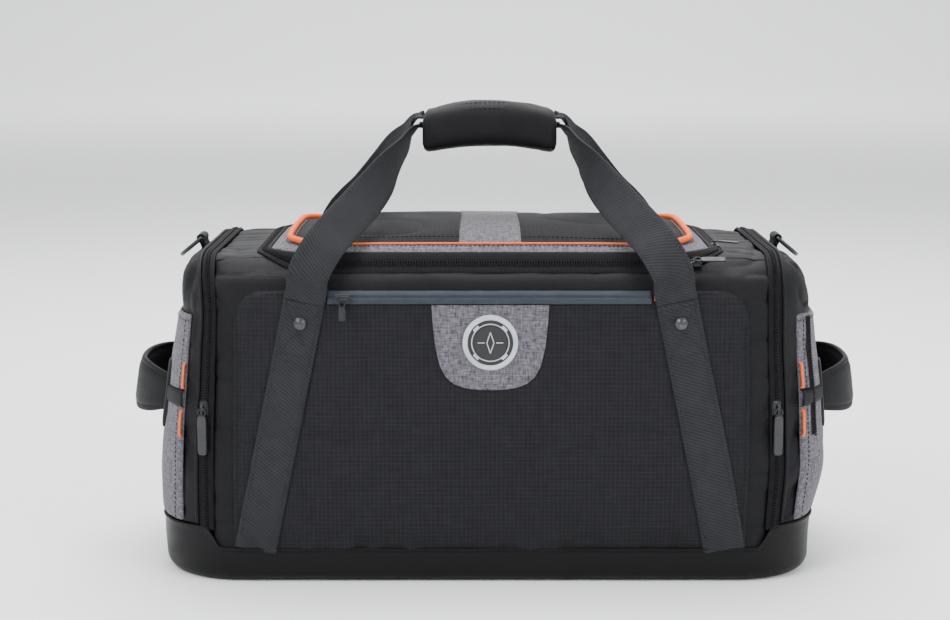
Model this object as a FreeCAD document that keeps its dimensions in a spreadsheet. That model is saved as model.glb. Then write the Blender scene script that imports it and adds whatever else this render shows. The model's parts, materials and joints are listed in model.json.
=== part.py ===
import FreeCAD, Part
import math
import os
import Sketcher

# Soft-sided flight bag: a stiffened carcass with a lift-up lid, two carrying
# straps, zipped end compartments and grab handles on both ends.
# Millimetres.  +Z is up, the front faces -Y, the origin is the centre of the base.

doc = FreeCAD.newDocument("flight_bag")
Vector = FreeCAD.Vector

# ---------------------------------------------------------------- driving sizes
SIZES = {
    "body_length": 612, "body_depth": 290, "deck_height": 300,
    "corner_radius": 75, "shoulder_radius": 45, "foot_radius": 12,
    "wall_thickness": 5, "boot_height": 33, "boot_end_height": 52,
    "running_gap": 0.3,
    "end_zip_inner": 254, "end_zip_outer": 266,
    "lid_length": 410, "lid_depth": 240, "lid_corner": 42, "lid_edge": 6,
    "lid_border": 16, "lid_crown": 17, "lid_dome": 14, "piping_radius": 2.2,
    "zip_width": 11, "mouth_inset": 5,
    "board_thickness": 4, "board_inset": 14, "foam_thickness": 4,
    "foam_length": 462, "lining_length": 496, "lining_top": 262, "lining_thickness": 2,
    "divider_place": 250, "divider_thickness": 2, "divider_depth": 264,
    "pocket_width": 472, "pocket_top": 272, "pocket_corner": 30, "pocket_thickness": 6,
    "pocket_zip_length": 294, "pocket_zip_height": 9, "pocket_zip_low": 261,
    "patch_width": 106, "patch_top": 259, "patch_shoulder": 224, "patch_bottom": 183,
    "badge_radius": 25, "badge_rim_width": 5, "badge_height": 226, "badge_thickness": 3.5,
    "webbing_width": 38, "webbing_thickness": 2.5, "strap_foot_place": 215,
    "strap_top_place": 167, "strap_top": 268, "rivet_height": 243, "rivet_radius": 5.5,
    "wrap_length": 128, "wrap_low": 391, "wrap_top": 435, "wrap_front": 30,
    "wrap_rear": 24, "slot_low": 404, "slot_top": 426, "slot_front": 25,
    "end_pocket_start": 283, "end_pocket_top": 246, "end_pocket_thickness": 3,
    "end_piping_radius": 1.8, "end_piping_low": 122, "end_piping_top": 200,
    "end_pocket_zip_start": 288, "end_pocket_zip_width": 8, "end_pocket_zip_low": 130,
    "grip_height": 167, "grip_spread": 84, "grip_reach": 44, "grip_thickness": 8,
    "grip_end_height": 64, "grip_mid_height": 50, "grip_tip_height": 8, "grip_anchor_width": 18,
    "ring_wire": 2, "ring_width": 32, "ring_drop": 26, "tab_width": 25, "tab_radius": 5,
    "tab_stand": 1.5, "ring_rise": 70, "ring_fall": 39.65,
    "slider_length": 15, "slider_width": 10, "slider_height": 5, "pull_thickness": 2,
    "lid_slider_place": 185, "lid_slider_offset": 5, "end_slider_height": 163,
    "lid_pull_length": 30, "end_pull_length": 44, "pocket_pull_length": 20, "end_pull_width": 9,
    "pull_width": 6, "pocket_slider_inset": 14, "side_slider_offset": 6.5, "side_slider_place": 60,
}

sheet = doc.addObject("Spreadsheet::Sheet", "Sizes")
for row, (alias, value) in enumerate(SIZES.items(), start=1):
    sheet.set(f"A{row}", alias)
    sheet.set(f"B{row}", str(value))
    sheet.setAlias(f"B{row}", alias)
doc.recompute()

NODES = []
SIDES = {"left": -1, "right": 1}


def size(alias):
    """A driving dimension as a number, read from the sheet."""
    return float(sheet.get(alias))


def node(item, label):
    """Give a finished sub-part its name and put it on the list to be written."""
    item.Label = label
    NODES.append(item)
    return item


def bind(item, **expressions):
    """Bind an object's properties to the sheet; x, y and z place it."""
    for name, text in expressions.items():
        if name in ("x", "y", "z"):
            name = f"Placement.Base.{name}"
        item.setExpression(name, text)
    return item


def box(name, x, y, z, length, width, height):
    """A Part::Box from its low corner, every value an expression."""
    item = doc.addObject("Part::Box", name)
    return bind(item, x=x, y=y, z=z, Length=length, Width=width, Height=height)


def boolean(kind, name, base, tool):
    item = doc.addObject(f"Part::{kind}", name)
    item.Base, item.Tool = base, tool
    return item


def common(name, base, tool):
    return boolean("Common", name, base, tool)


def cut(name, base, tool):
    return boolean("Cut", name, base, tool)


def fuse(name, base, tool):
    return boolean("Fuse", name, base, tool)


def plane_of(body, role):
    return next(item for item in body.Origin.OriginFeatures if item.Role == role)


def new_sketch(body, name, role):
    sketch = body.newObject("Sketcher::SketchObject", name)
    sketch.AttachmentSupport = [(plane_of(body, role), "")]
    sketch.MapMode = "FlatFace"
    return sketch


def rounded_rectangle(sketch, length, depth, radius):
    """A centred rounded rectangle whose three sizes are expressions."""
    half_l, half_d, r = 50.0, 40.0, 10.0
    corners = [(half_l, half_d, 0), (-half_l, half_d, 90), (-half_l, -half_d, 180), (half_l, -half_d, 270)]
    lines = [((-half_l + r, -half_d), (half_l - r, -half_d)), ((half_l, -half_d + r), (half_l, half_d - r)),
             ((half_l - r, half_d), (-half_l + r, half_d)), ((-half_l, half_d - r), (-half_l, -half_d + r))]
    for start, end in lines:
        sketch.addGeometry(Part.LineSegment(Vector(*start, 0), Vector(*end, 0)))
    for x, y, angle in corners:
        centre = Vector(x - math.copysign(r, x), y - math.copysign(r, y), 0)
        circle = Part.Circle(centre, Vector(0, 0, 1), r)
        sketch.addGeometry(Part.ArcOfCircle(circle, math.radians(angle), math.radians(angle + 90)))
    # lines 0..3 run anticlockwise; arcs 4..7 start after lines 1, 2, 3 and 0
    for arc, before, after in [(4, 1, 2), (5, 2, 3), (6, 3, 0), (7, 0, 1)]:
        sketch.addConstraint(Sketcher.Constraint("Tangent", before, 2, arc, 1))
        sketch.addConstraint(Sketcher.Constraint("Tangent", arc, 2, after, 1))
    for arc in (5, 6, 7):
        sketch.addConstraint(Sketcher.Constraint("Equal", 4, arc))
    sketch.addConstraint(Sketcher.Constraint("Horizontal", 2))
    sketch.addConstraint(Sketcher.Constraint("Vertical", 3))
    sketch.addConstraint(Sketcher.Constraint("Symmetric", 0, 1, 0, 2, -2))
    sketch.addConstraint(Sketcher.Constraint("Symmetric", 1, 1, 1, 2, -1))
    spans = [("DistanceX", (3, 1, 1, 1), 2 * half_l, length), ("DistanceY", (0, 1, 2, 1), 2 * half_d, depth),
             ("Radius", (4,), r, radius)]
    for kind, places, value, text in spans:
        index = sketch.addConstraint(Sketcher.Constraint(kind, *places, value))
        sketch.setExpression(f"Constraints[{index}]", text)


def pad(body, sketch, height):
    item = body.newObject("PartDesign::Pad", body.Name + "Pad")
    item.Profile = sketch
    item.setExpression("Length", height)
    return item


def edges_at(shape, z):
    """Names of the edges that lie in the level z of a shape."""
    return [f"Edge{number}" for number, edge in enumerate(shape.Edges, start=1)
            if abs(edge.BoundBox.ZMin - z) < 1e-4 and abs(edge.BoundBox.ZMax - z) < 1e-4]


def round_level(body, feature, z, radius):
    """Fillet every edge of a body's feature that lies in one level."""
    doc.recompute()
    item = body.newObject("PartDesign::Fillet", body.Name + "Fillet")
    item.Base = (feature, edges_at(feature.Shape, z))
    item.setExpression("Radius", radius)
    return item


def slab(name, length, depth, radius, z, height, top_fillet=None, foot_fillet=None):
    """A body with a rounded-rectangle plan, standing at level z."""
    body = doc.addObject("PartDesign::Body", name)
    sketch = new_sketch(body, name + "Sketch", "XY_Plane")
    rounded_rectangle(sketch, length, depth, radius)
    last = pad(body, sketch, height)
    doc.recompute()
    tall = last.Length.Value
    if top_fillet:
        last = round_level(body, last, tall, top_fillet)
    if foot_fillet:
        last = round_level(body, last, 0, foot_fillet)
    bind(body, z=z)
    return body


# ---------------------------------------------------------------- carcass
def carcass():
    """The bag's outer skin as one shell, then cut along its real seams."""
    wall = "Sizes.wall_thickness"
    outer = slab("OuterForm", "Sizes.body_length", "Sizes.body_depth", "Sizes.corner_radius", "0",
                 "Sizes.deck_height", "Sizes.shoulder_radius", "Sizes.foot_radius")
    inner = slab("InnerForm", f"Sizes.body_length - 2 * {wall}", f"Sizes.body_depth - 2 * {wall}",
                 f"Sizes.corner_radius - {wall}", wall, f"Sizes.deck_height - 2 * {wall}",
                 f"Sizes.shoulder_radius - {wall}", f"Sizes.foot_radius - {wall}")
    shell = cut("Shell", outer, inner)

    low = box("BootMiddle", "-Sizes.end_zip_inner", "-200", "-1", "2 * Sizes.end_zip_inner", "400",
              "Sizes.boot_height + 1")
    boot_forms = [low]
    for side, sign in SIDES.items():
        start = "Sizes.end_zip_inner" if sign > 0 else "-Sizes.end_zip_inner - 100"
        boot_forms.append(box(f"BootEnd_{side}", start, "-200", "-1", "100", "400",
                              "Sizes.boot_end_height + 1"))
    boot = fuse("BootForm", fuse("BootFormLeft", boot_forms[0], boot_forms[1]), boot_forms[2])
    node(common("BaseBoot", shell, boot), "base_boot")

    zip_form = slab("ZipForm", "Sizes.lid_length + 2 * Sizes.zip_width",
                    "Sizes.lid_depth + 2 * Sizes.zip_width",
                    "Sizes.lid_corner + Sizes.zip_width", "250", "100")
    mouth = slab("MouthForm", "Sizes.lid_length - 2 * Sizes.mouth_inset",
                 "Sizes.lid_depth - 2 * Sizes.mouth_inset",
                 "Sizes.lid_corner - Sizes.mouth_inset", "240", "120")
    seam = "(Sizes.lid_depth / 2 + Sizes.zip_width)"
    for name, y in [("front", "-200"), ("rear", seam)]:
        form = box(f"PanelForm_{name}", "-Sizes.end_zip_inner", y, "Sizes.boot_height",
                   "2 * Sizes.end_zip_inner", f"200 - {seam}", "300")
        node(common(f"Panel_{name}", shell, form), f"{name}_panel")

    for side, sign in SIDES.items():
        start = "Sizes.end_zip_inner / 2" if sign > 0 else "-Sizes.end_zip_inner"
        form = box(f"DeckForm_{side}", start, f"-{seam}", "250", "Sizes.end_zip_inner / 2",
                   f"2 * {seam}", "100")
        node(cut(f"Deck_{side}", common(f"DeckSkin_{side}", shell, form), zip_form), f"{side}_deck_panel")

    ring = cut("ZipRing", common("ZipSkin", shell, zip_form), mouth)
    split = "Sizes.lid_depth / 2 - Sizes.mouth_inset - 3"
    node(common("MainZip", ring, box("MainZipForm", "-300", "-200", "240", "600", f"200 + {split}", "100")),
         "main_zip_tape")
    node(common("HingeStrip", ring, box("HingeForm", "-300", split, "240", "600", "100", "100")),
         "lid_hinge_strip")

    gap = "Sizes.running_gap"
    for side, sign in SIDES.items():
        start = "Sizes.end_zip_inner" if sign > 0 else "-Sizes.end_zip_outer"
        form = box(f"EndZipForm_{side}", start, "-200", "Sizes.boot_end_height",
                   "Sizes.end_zip_outer - Sizes.end_zip_inner", "400", "300")
        node(common(f"EndZip_{side}", shell, form), f"{side}_end_zip_tape")
        start = f"Sizes.end_zip_outer + {gap}" if sign > 0 else f"-Sizes.end_zip_outer - {gap} - 100"
        form = box(f"EndForm_{side}", start, "-200", f"Sizes.boot_end_height + {gap}", "100", "400", "300")
        node(common(f"EndPanel_{side}", shell, form), f"{side}_end_panel")
    return outer


def insides():
    """Stiffener board, wall foam, main lining and the two compartment dividers."""
    wall, board = "Sizes.wall_thickness", "Sizes.board_thickness"
    node(slab("BaseBoard", "Sizes.body_length - 2 * Sizes.board_inset",
              "Sizes.body_depth - 2 * Sizes.board_inset",
              "Sizes.corner_radius - Sizes.board_inset", wall, board), "base_board")
    floor = f"({wall} + {board})"
    inner_depth = f"(Sizes.body_depth / 2 - {wall})"
    lining_depth = f"({inner_depth} - Sizes.foam_thickness)"
    for name, y in [("front", f"-{inner_depth}"), ("rear", lining_depth)]:
        node(box(f"Foam_{name}", "-Sizes.foam_length / 2", y, f"{floor} + 5", "Sizes.foam_length",
                 "Sizes.foam_thickness", "Sizes.lining_top - 24"), f"{name}_wall_foam")
    skin = "Sizes.lining_thickness"
    outside = box("LiningOutside", "-Sizes.lining_length / 2", f"-{lining_depth}", floor,
                  "Sizes.lining_length",
                  f"2 * {lining_depth}", f"Sizes.lining_top - {floor}")
    inside = box("LiningInside", f"-Sizes.lining_length / 2 + {skin}", f"-{lining_depth} + {skin}",
                 f"{floor} + {skin}", f"Sizes.lining_length - 2 * {skin}",
                 f"2 * {lining_depth} - 2 * {skin}", "400")
    node(cut("Lining", outside, inside), "main_lining")
    for side, sign in SIDES.items():
        start = "Sizes.divider_place" if sign > 0 else "-Sizes.divider_place - Sizes.divider_thickness"
        node(box(f"Divider_{side}", start, "-Sizes.divider_depth / 2", floor, "Sizes.divider_thickness",
                 "Sizes.divider_depth", f"Sizes.lining_top - {floor}"), f"{side}_divider")


# ---------------------------------------------------------------- front of the bag
def outline_body(name, points, thickness, y):
    """A flat piece on the front: a closed outline in X and Z, padded towards -Y.

    Each point is (x, z) or (x, z, radius), a corner rounded to that radius.
    """
    body = doc.addObject("PartDesign::Body", name)
    sketch = new_sketch(body, name + "Sketch", "XZ_Plane")
    count = len(points)
    joins = []
    for index, point in enumerate(points):
        corner = Vector(point[0], point[1], 0)
        before = (Vector(*points[index - 1][:2], 0) - corner).normalize()
        after = (Vector(*points[(index + 1) % count][:2], 0) - corner).normalize()
        if len(point) == 2:
            joins.append((corner, None, corner))
            continue
        half = before.getAngle(after) / 2
        reach = point[2] / math.tan(half)
        middle = corner + (before + after).normalize() * (point[2] / math.sin(half) - point[2])
        joins.append((corner + before * reach, middle, corner + after * reach))
    for index, (start, middle, end) in enumerate(joins):
        if middle is not None:
            sketch.addGeometry(Part.Arc(start, middle, end))
        sketch.addGeometry(Part.LineSegment(end, joins[(index + 1) % count][0]))
    total = sketch.GeometryCount
    for index in range(total):
        sketch.addConstraint(Sketcher.Constraint("Coincident", index, 2, (index + 1) % total, 1))
        sketch.addConstraint(Sketcher.Constraint("Block", index))
    item = pad(body, sketch, thickness)
    bind(body, y=y)
    return item


def front_pocket():
    """Zipped patch pocket, its zip, the heather patch and the round badge."""
    half = size("pocket_width") / 2
    face = "-(Sizes.body_depth / 2)"
    outline = [(-half, size("boot_height")), (half, size("boot_height")),
               (half, size("pocket_top"), size("pocket_corner")),
               (-half, size("pocket_top"), size("pocket_corner"))]
    outline_body("PocketBody", outline, "Sizes.pocket_thickness", face)
    node(doc.PocketBody, "front_pocket")
    face = f"({face} - Sizes.pocket_thickness)"
    node(box("PocketZip", "-Sizes.pocket_zip_length / 2", f"{face} - 1.5", "Sizes.pocket_zip_low",
             "Sizes.pocket_zip_length", "1.5", "Sizes.pocket_zip_height"), "front_pocket_zip_tape")
    half = size("patch_width") / 2
    outline = [(-half, size("patch_top")), (-half + 3, size("patch_shoulder")),
               (-half + 14, size("patch_bottom"), 26), (half - 14, size("patch_bottom"), 26),
               (half - 3, size("patch_shoulder")), (half, size("patch_top"))]
    outline_body("PatchBody", outline, "1", face)
    node(doc.PatchBody, "pocket_patch")

    face = f"({face} - 1)"
    discs = {}
    inner = "Sizes.badge_radius - Sizes.badge_rim_width"
    for name, radius, thickness in [("Rim", "Sizes.badge_radius", "Sizes.badge_thickness"),
                                    ("Hole", inner, "20"),
                                    ("Face", inner, "Sizes.badge_thickness - 1")]:
        item = doc.addObject("Part::Cylinder", "Badge" + name)
        item.Placement = FreeCAD.Placement(Vector(), FreeCAD.Rotation(Vector(1, 0, 0), 90))
        discs[name] = bind(item, y=face, z="Sizes.badge_height", Radius=radius, Height=thickness)
    node(cut("BadgeRing", discs["Rim"], discs["Hole"]), "badge_rim")
    node(discs["Face"], "badge_disc")


# ---------------------------------------------------------------- webbing
def facets(corners):
    """A quadrilateral as two flat triangles, so a twisted side stays exact."""
    a, b, c, d = corners
    return [Part.Face(Part.makePolygon([a, b, c, a])), Part.Face(Part.makePolygon([a, c, d, a]))]


def ribbon(stations, thickness):
    """A strap through stations (centre, width direction, width), of one thickness."""
    rings = []
    for index, (centre, across, width) in enumerate(stations):
        ahead = stations[min(index + 1, len(stations) - 1)][0]
        behind = stations[max(index - 1, 0)][0]
        run = (ahead - behind).normalize()
        across = (across - run * across.dot(run)).normalize()
        out = run.cross(across) * (thickness / 2)
        side = across * (width / 2)
        rings.append([centre - side - out, centre + side - out, centre + side + out, centre - side + out])
    faces = facets(rings[0]) + facets(rings[-1])
    for first, second in zip(rings, rings[1:]):
        for k in range(4):
            faces += facets([first[k], first[(k + 1) % 4], second[(k + 1) % 4], second[k]])
    solid = Part.makeSolid(Part.makeShell(faces))
    if solid.Volume < 0:
        solid.reverse()
    return solid


def shaped(name, solid, label):
    """A sub-part whose solid is worked out in code from the sheet's sizes."""
    item = doc.addObject("Part::Feature", name)
    item.Shape = solid
    return node(item, label)


def sewn_straps():
    """The four sewn runs of the carrying webbing, and the studs at their tops."""
    foot, top = size("strap_foot_place"), size("strap_top_place")
    half, thickness = size("webbing_width") / 2, size("webbing_thickness")
    faces = {"front": -size("body_depth") / 2 - size("pocket_thickness"),
             "rear": size("body_depth") / 2 + thickness}
    slope = (foot - top) / (size("strap_top") - size("boot_height"))
    studs = []
    for wall, y in faces.items():
        for side, sign in SIDES.items():
            outline = [(sign * (foot - half), size("boot_height")),
                       (sign * (foot + half), size("boot_height")),
                       (sign * (top + half), size("strap_top")),
                       (sign * (top - half), size("strap_top"))]
            if sign < 0:
                outline.reverse()
            name = f"Strap_{wall}_{side}"
            outline_body(name, outline, "Sizes.webbing_thickness", str(y))
            node(doc.getObject(name), f"{wall}_strap_{side}")
            place = sign * (top + slope * (size("strap_top") - size("rivet_height")))
            away = -1 if wall == "front" else 1
            base = y - thickness if wall == "front" else y
            stud = doc.addObject("Part::Cylinder", f"Stud_{wall}_{side}")
            turn = FreeCAD.Rotation(Vector(1, 0, 0), -90 * away)
            stud.Placement = FreeCAD.Placement(Vector(place, base, 0), turn)
            bind(stud, z="Sizes.rivet_height", Radius="Sizes.rivet_radius", Height="3")
            studs.append(stud)
    doc.recompute()
    rounded = []
    for stud in studs:
        dome = doc.addObject("Part::Fillet", stud.Name + "Dome")
        dome.Base = stud
        rim = [n for n, edge in enumerate(stud.Shape.Edges, start=1)
               if abs(edge.BoundBox.YLength) < 1e-6
               and abs(edge.BoundBox.Center.y) > abs(stud.Shape.BoundBox.Center.y)]
        dome.Edges = [(n, 2.4, 2.4) for n in rim]
        rounded.append(dome)
    group = doc.addObject("Part::Compound", "Studs")
    group.Links = rounded
    node(group, "strap_rivets")


def handle_stations(facing, lift):
    """One carrying strap from its left sewn run, over the grip, to its right one."""
    width, top = size("webbing_width"), size("strap_top")
    lean = (size("strap_foot_place") - size("strap_top_place")) / (top - size("boot_height"))
    start_y = size("body_depth") / 2 + size("pocket_thickness") * (facing < 0) + 1.25
    flat, slant = Vector(0, 1, 0), Vector(1, 0, lean)
    right = [((165.5, start_y, top + 5.5), slant, 1), ((163, start_y + 4.75, 289), slant, 1),
             ((151, 145, 311), Vector(1, -0.2, 0.25), 1), ((139, 127, 325), Vector(0.9, -0.33, 0.3), 1),
             ((121, 100, 343), Vector(0.88, -0.4, 0.28), 1),
             ((105, 73, 361 + lift / 2), Vector(0.75, -0.6, 0.3), 0.95),
             ((93, 48, 378 + lift), Vector(0.5, -0.8, 0.35), 0.85),
             ((82, 28, 392 + lift), Vector(0.3, -0.88, 0.3), 0.7),
             ((71, 8, 408 + lift), Vector(0.1, -1, 0.05), 0.6), ((54, 2.5, 410.5 + lift), -flat, 0.6)]
    half = [(Vector(x, facing * y, z), Vector(a.x, -facing * a.y, a.z), share * width)
            for (x, y, z), a, share in right]
    left = [(Vector(-c.x, c.y, c.z), Vector(-a.x, a.y, a.z), wide) for c, a, wide in half]
    return left + half[::-1]


def carrying_handles():
    """Two free straps; the front one carries the padded wrap, open to the rear."""
    thickness = size("webbing_thickness")
    shaped("FrontHandle", ribbon(handle_stations(-1, 0), thickness), "front_handle_webbing")
    shaped("RearHandle", ribbon(handle_stations(1, 9), thickness), "rear_handle_webbing")
    depth = "Sizes.wrap_front + Sizes.wrap_rear"
    roll = box("WrapRoll", "-Sizes.wrap_length / 2", "-Sizes.wrap_front", "Sizes.wrap_low",
               "Sizes.wrap_length",
               depth, "Sizes.wrap_top - Sizes.wrap_low")
    doc.recompute()
    soft = doc.addObject("Part::Fillet", "WrapSoft")
    soft.Base = roll
    long_edges = [n for n, edge in enumerate(roll.Shape.Edges, start=1) if edge.BoundBox.XLength > 100]
    soft.Edges = [(n, 10, 10) for n in long_edges]
    slot = box("WrapSlot", "-Sizes.wrap_length", "-Sizes.slot_front", "Sizes.slot_low",
               "2 * Sizes.wrap_length",
               "100", "Sizes.slot_top - Sizes.slot_low")
    node(cut("Wrap", soft, slot), "handle_wrap")


# ---------------------------------------------------------------- lid
def lid():
    """Heather border plate, domed top panel, stripe, piping and inner lining."""
    rest, gap = "Sizes.deck_height", "Sizes.running_gap"
    inset = "Sizes.lid_border"
    node(slab("LidBorder", "Sizes.lid_length", "Sizes.lid_depth", "Sizes.lid_corner", f"{rest} + {gap}",
              "Sizes.lid_edge", "3"), "lid_border")
    level = f"{rest} + {gap} + Sizes.lid_edge"
    node(slab("LidTop", f"Sizes.lid_length - 2 * {inset}", f"Sizes.lid_depth - 2 * {inset}",
              f"Sizes.lid_corner - {inset}", level, "Sizes.lid_crown", "Sizes.lid_dome"), "lid_top_panel")
    node(box("LidStripe", "-27", "-Sizes.lid_depth / 2 + 34", f"{level} + Sizes.lid_crown", "54",
             "Sizes.lid_depth - 68", "0.8"), "lid_stripe")
    node(slab("LidLining", "Sizes.lid_length - 24", "Sizes.lid_depth - 24", "Sizes.lid_corner - 12",
              f"{rest} + {gap} - 2", "2"), "lid_lining")

    body = doc.addObject("PartDesign::Body", "LidPiping")
    path = new_sketch(body, "PipingPath", "XY_Plane")
    reach = f"2 * {inset} + 2 * Sizes.piping_radius"
    rounded_rectangle(path, f"Sizes.lid_length - {reach} + 4 * Sizes.piping_radius",
                      f"Sizes.lid_depth - {reach} + 4 * Sizes.piping_radius",
                      f"Sizes.lid_corner - {inset} + Sizes.piping_radius")
    cord = new_sketch(body, "PipingCord", "YZ_Plane")
    cord.addGeometry(Part.Circle(Vector(), Vector(0, 0, 1), 2))
    cord.addConstraint(Sketcher.Constraint("PointOnObject", 0, 3, -1))
    across = cord.addConstraint(Sketcher.Constraint("DistanceX", -1, 1, 0, 3, 100))
    cord.setExpression(f"Constraints[{across}]", f"Sizes.lid_depth / 2 - {inset} + Sizes.piping_radius")
    wide = cord.addConstraint(Sketcher.Constraint("Radius", 0, 2))
    cord.setExpression(f"Constraints[{wide}]", "Sizes.piping_radius")
    doc.recompute()
    pipe = body.newObject("PartDesign::AdditivePipe", "PipingPipe")
    pipe.Profile = cord
    pipe.Spine = (path, [f"Edge{n}" for n in range(1, 9)])
    bind(body, z=f"{level} + Sizes.piping_radius")
    node(body, "lid_piping")


# ---------------------------------------------------------------- ends
def grown_form(name, growth):
    """The carcass form grown outward by a thickness, to cut a skin that lies on it."""
    return slab(name, f"Sizes.body_length + 2 * {growth}", f"Sizes.body_depth + 2 * {growth}",
                f"Sizes.corner_radius + {growth}", "Sizes.boot_end_height + Sizes.running_gap",
                "Sizes.end_pocket_top - Sizes.boot_end_height - Sizes.running_gap")


def beyond(name, side, start, length, low, height, front_only=False):
    """A box that keeps what lies beyond a distance from the middle, on one side."""
    x = start if side == "right" else f"-({start}) - {length}"
    return box(name, x, "-200", low, length, "200" if front_only else "400", height)


def end_details(outer):
    """Grey end pocket, orange piping, grab handle, ring tab and ring, on each end."""
    wall = size("body_length") / 2
    skin = "Sizes.end_pocket_thickness"
    pocket_form = grown_form("EndPocketForm", skin)
    pocket_skin = cut("EndPocketSkin", pocket_form, outer)
    for side, sign in SIDES.items():
        keep = beyond(f"EndPocketKeep_{side}", side, "Sizes.end_pocket_start", "60", "0", "400")
        node(common(f"EndPocket_{side}", pocket_skin, keep), f"{side}_end_pocket")
        node(end_piping(side, sign), f"{side}_end_piping")
        shaped(f"Grip_{side}", grip_loop(sign, wall), f"{side}_end_handle")

        anchors = []
        for place in (-1, 1):
            pads = box(f"GripAnchor_{side}_{place + 1}", f"{sign} * (Sizes.body_length / 2 + 1) - 5",
                       f"{place} * Sizes.grip_spread - Sizes.grip_anchor_width / 2",
                       "Sizes.grip_height - Sizes.grip_end_height / 2", "10", "Sizes.grip_anchor_width",
                       "Sizes.grip_end_height")
            anchors.append(cut(f"GripPad_{side}_{place + 1}", pads, pocket_form))
        pair = doc.addObject("Part::Compound", f"GripPads_{side}")
        pair.Links = anchors
        node(pair, f"{side}_handle_anchors")
        ring_and_tab(outer, side, sign)

    zip_skin = cut("EndZipSkin", grown_form("EndZipForm", f"({skin} + 1.5)"), pocket_form)
    keep = beyond("EndZipKeep", "right", "Sizes.end_pocket_zip_start", "Sizes.end_pocket_zip_width",
                  "Sizes.end_pocket_zip_low", "200", front_only=True)
    node(common("EndPocketZip", zip_skin, keep), "right_end_pocket_zip")


def end_piping(side, sign):
    """Two upright runs of round piping on the front and rear edges of an end pocket."""
    radius = size("corner_radius")
    centre = Vector(size("body_length") / 2 - radius, size("body_depth") / 2 - radius, 0)
    across = size("end_pocket_start") - centre.x
    reach = radius + size("end_pocket_thickness") + size("end_piping_radius")
    runs = []
    for place in (-1, 1):
        run = doc.addObject("Part::Cylinder", f"EndPiping_{side}_{place + 1}")
        out = Vector(across, math.sqrt(radius ** 2 - across ** 2), 0).normalize() * reach
        run.Placement.Base = Vector(sign * (centre.x + out.x), place * (centre.y + out.y), 0)
        bind(run, z="Sizes.end_piping_low", Radius="Sizes.end_piping_radius",
             Height="Sizes.end_piping_top - Sizes.end_piping_low")
        runs.append(run)
    pair = doc.addObject("Part::Compound", f"EndPiping_{side}")
    pair.Links = runs
    return pair


def grip_loop(sign, wall):
    """A padded grab strap that stands off the end wall in a flat arch."""
    spread, reach = size("grip_spread"), size("grip_reach")
    stations = []
    for step in range(-6, 7):
        share = step / 6
        stand = 14 + (reach - 14) * (1 - share ** 4)
        tip, middle = size("grip_tip_height"), size("grip_mid_height")
        tall = middle + (tip - middle) * abs(share) ** 6
        centre = Vector(sign * (wall + stand - size("grip_thickness") / 2), share * (spread - 2),
                        size("grip_height"))
        stations.append((centre, Vector(0, 0, 1), tall))
    return ribbon(stations, size("grip_thickness"))


def ring_and_tab(outer, side, sign):
    """A webbing tab on the shoulder of the end, and the D-ring that hangs in it."""
    centre = Vector(sign * (size("body_length") / 2 - size("shoulder_radius")), 0,
                    size("deck_height") - size("shoulder_radius"))
    rise, fall = math.radians(size("ring_rise")), math.radians(size("ring_fall"))
    out = Vector(sign * math.cos(rise), 0, math.sin(rise))
    pin = centre + out * (size("shoulder_radius") + size("tab_radius") + size("tab_stand"))
    half = size("tab_width") / 2
    loop = doc.addObject("Part::Cylinder", f"TabLoop_{side}")
    loop.Placement = FreeCAD.Placement(pin + Vector(0, half, 0), FreeCAD.Rotation(Vector(1, 0, 0), 90))
    bind(loop, Radius="Sizes.tab_radius", Height="Sizes.tab_width")
    neck = doc.addObject("Part::Box", f"TabNeck_{side}")
    turn = FreeCAD.Rotation(Vector(0, 1, 0), (90 - size("ring_rise")) * sign)
    corner = turn.multVec(Vector(-3, -half, -16))
    neck.Placement = FreeCAD.Placement(pin + corner, turn)
    bind(neck, Length="6", Width="Sizes.tab_width", Height="14")
    bore = doc.addObject("Part::Cylinder", f"TabBore_{side}")
    bore.Placement = FreeCAD.Placement(pin + Vector(0, 30, 0), FreeCAD.Rotation(Vector(1, 0, 0), 90))
    bind(bore, Radius="Sizes.ring_wire + 0.5", Height="60")
    whole = cut(f"TabOuter_{side}", fuse(f"TabForm_{side}", loop, neck), outer)
    node(cut(f"Tab_{side}", whole, bore), f"{side}_ring_tab")

    down = Vector(sign * math.cos(fall), 0, -math.sin(fall))
    shaped(f"Ring_{side}", d_ring(pin, down), f"{side}_d_ring")


def d_ring(pin, down):
    """A round-wire D: a straight bar along Y at the pin, two legs and a half-circle bow."""
    wire, half = size("ring_wire"), size("ring_width") / 2
    leg = size("ring_drop") - half
    right, left, turn = Vector(0, half, 0), Vector(0, -half, 0), Vector(0, 1, 0).cross(down)
    solid = Part.makeCylinder(wire, 2 * half, pin + left, Vector(0, 1, 0))
    for end in (left, right):
        solid = solid.fuse(Part.makeSphere(wire, pin + end))
        solid = solid.fuse(Part.makeCylinder(wire, leg, pin + end, down))
    section = Part.Face(Part.Wire(Part.makeCircle(wire, pin + down * leg + right, down)))
    return solid.fuse(section.revolve(pin + down * leg, turn, 180))


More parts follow.
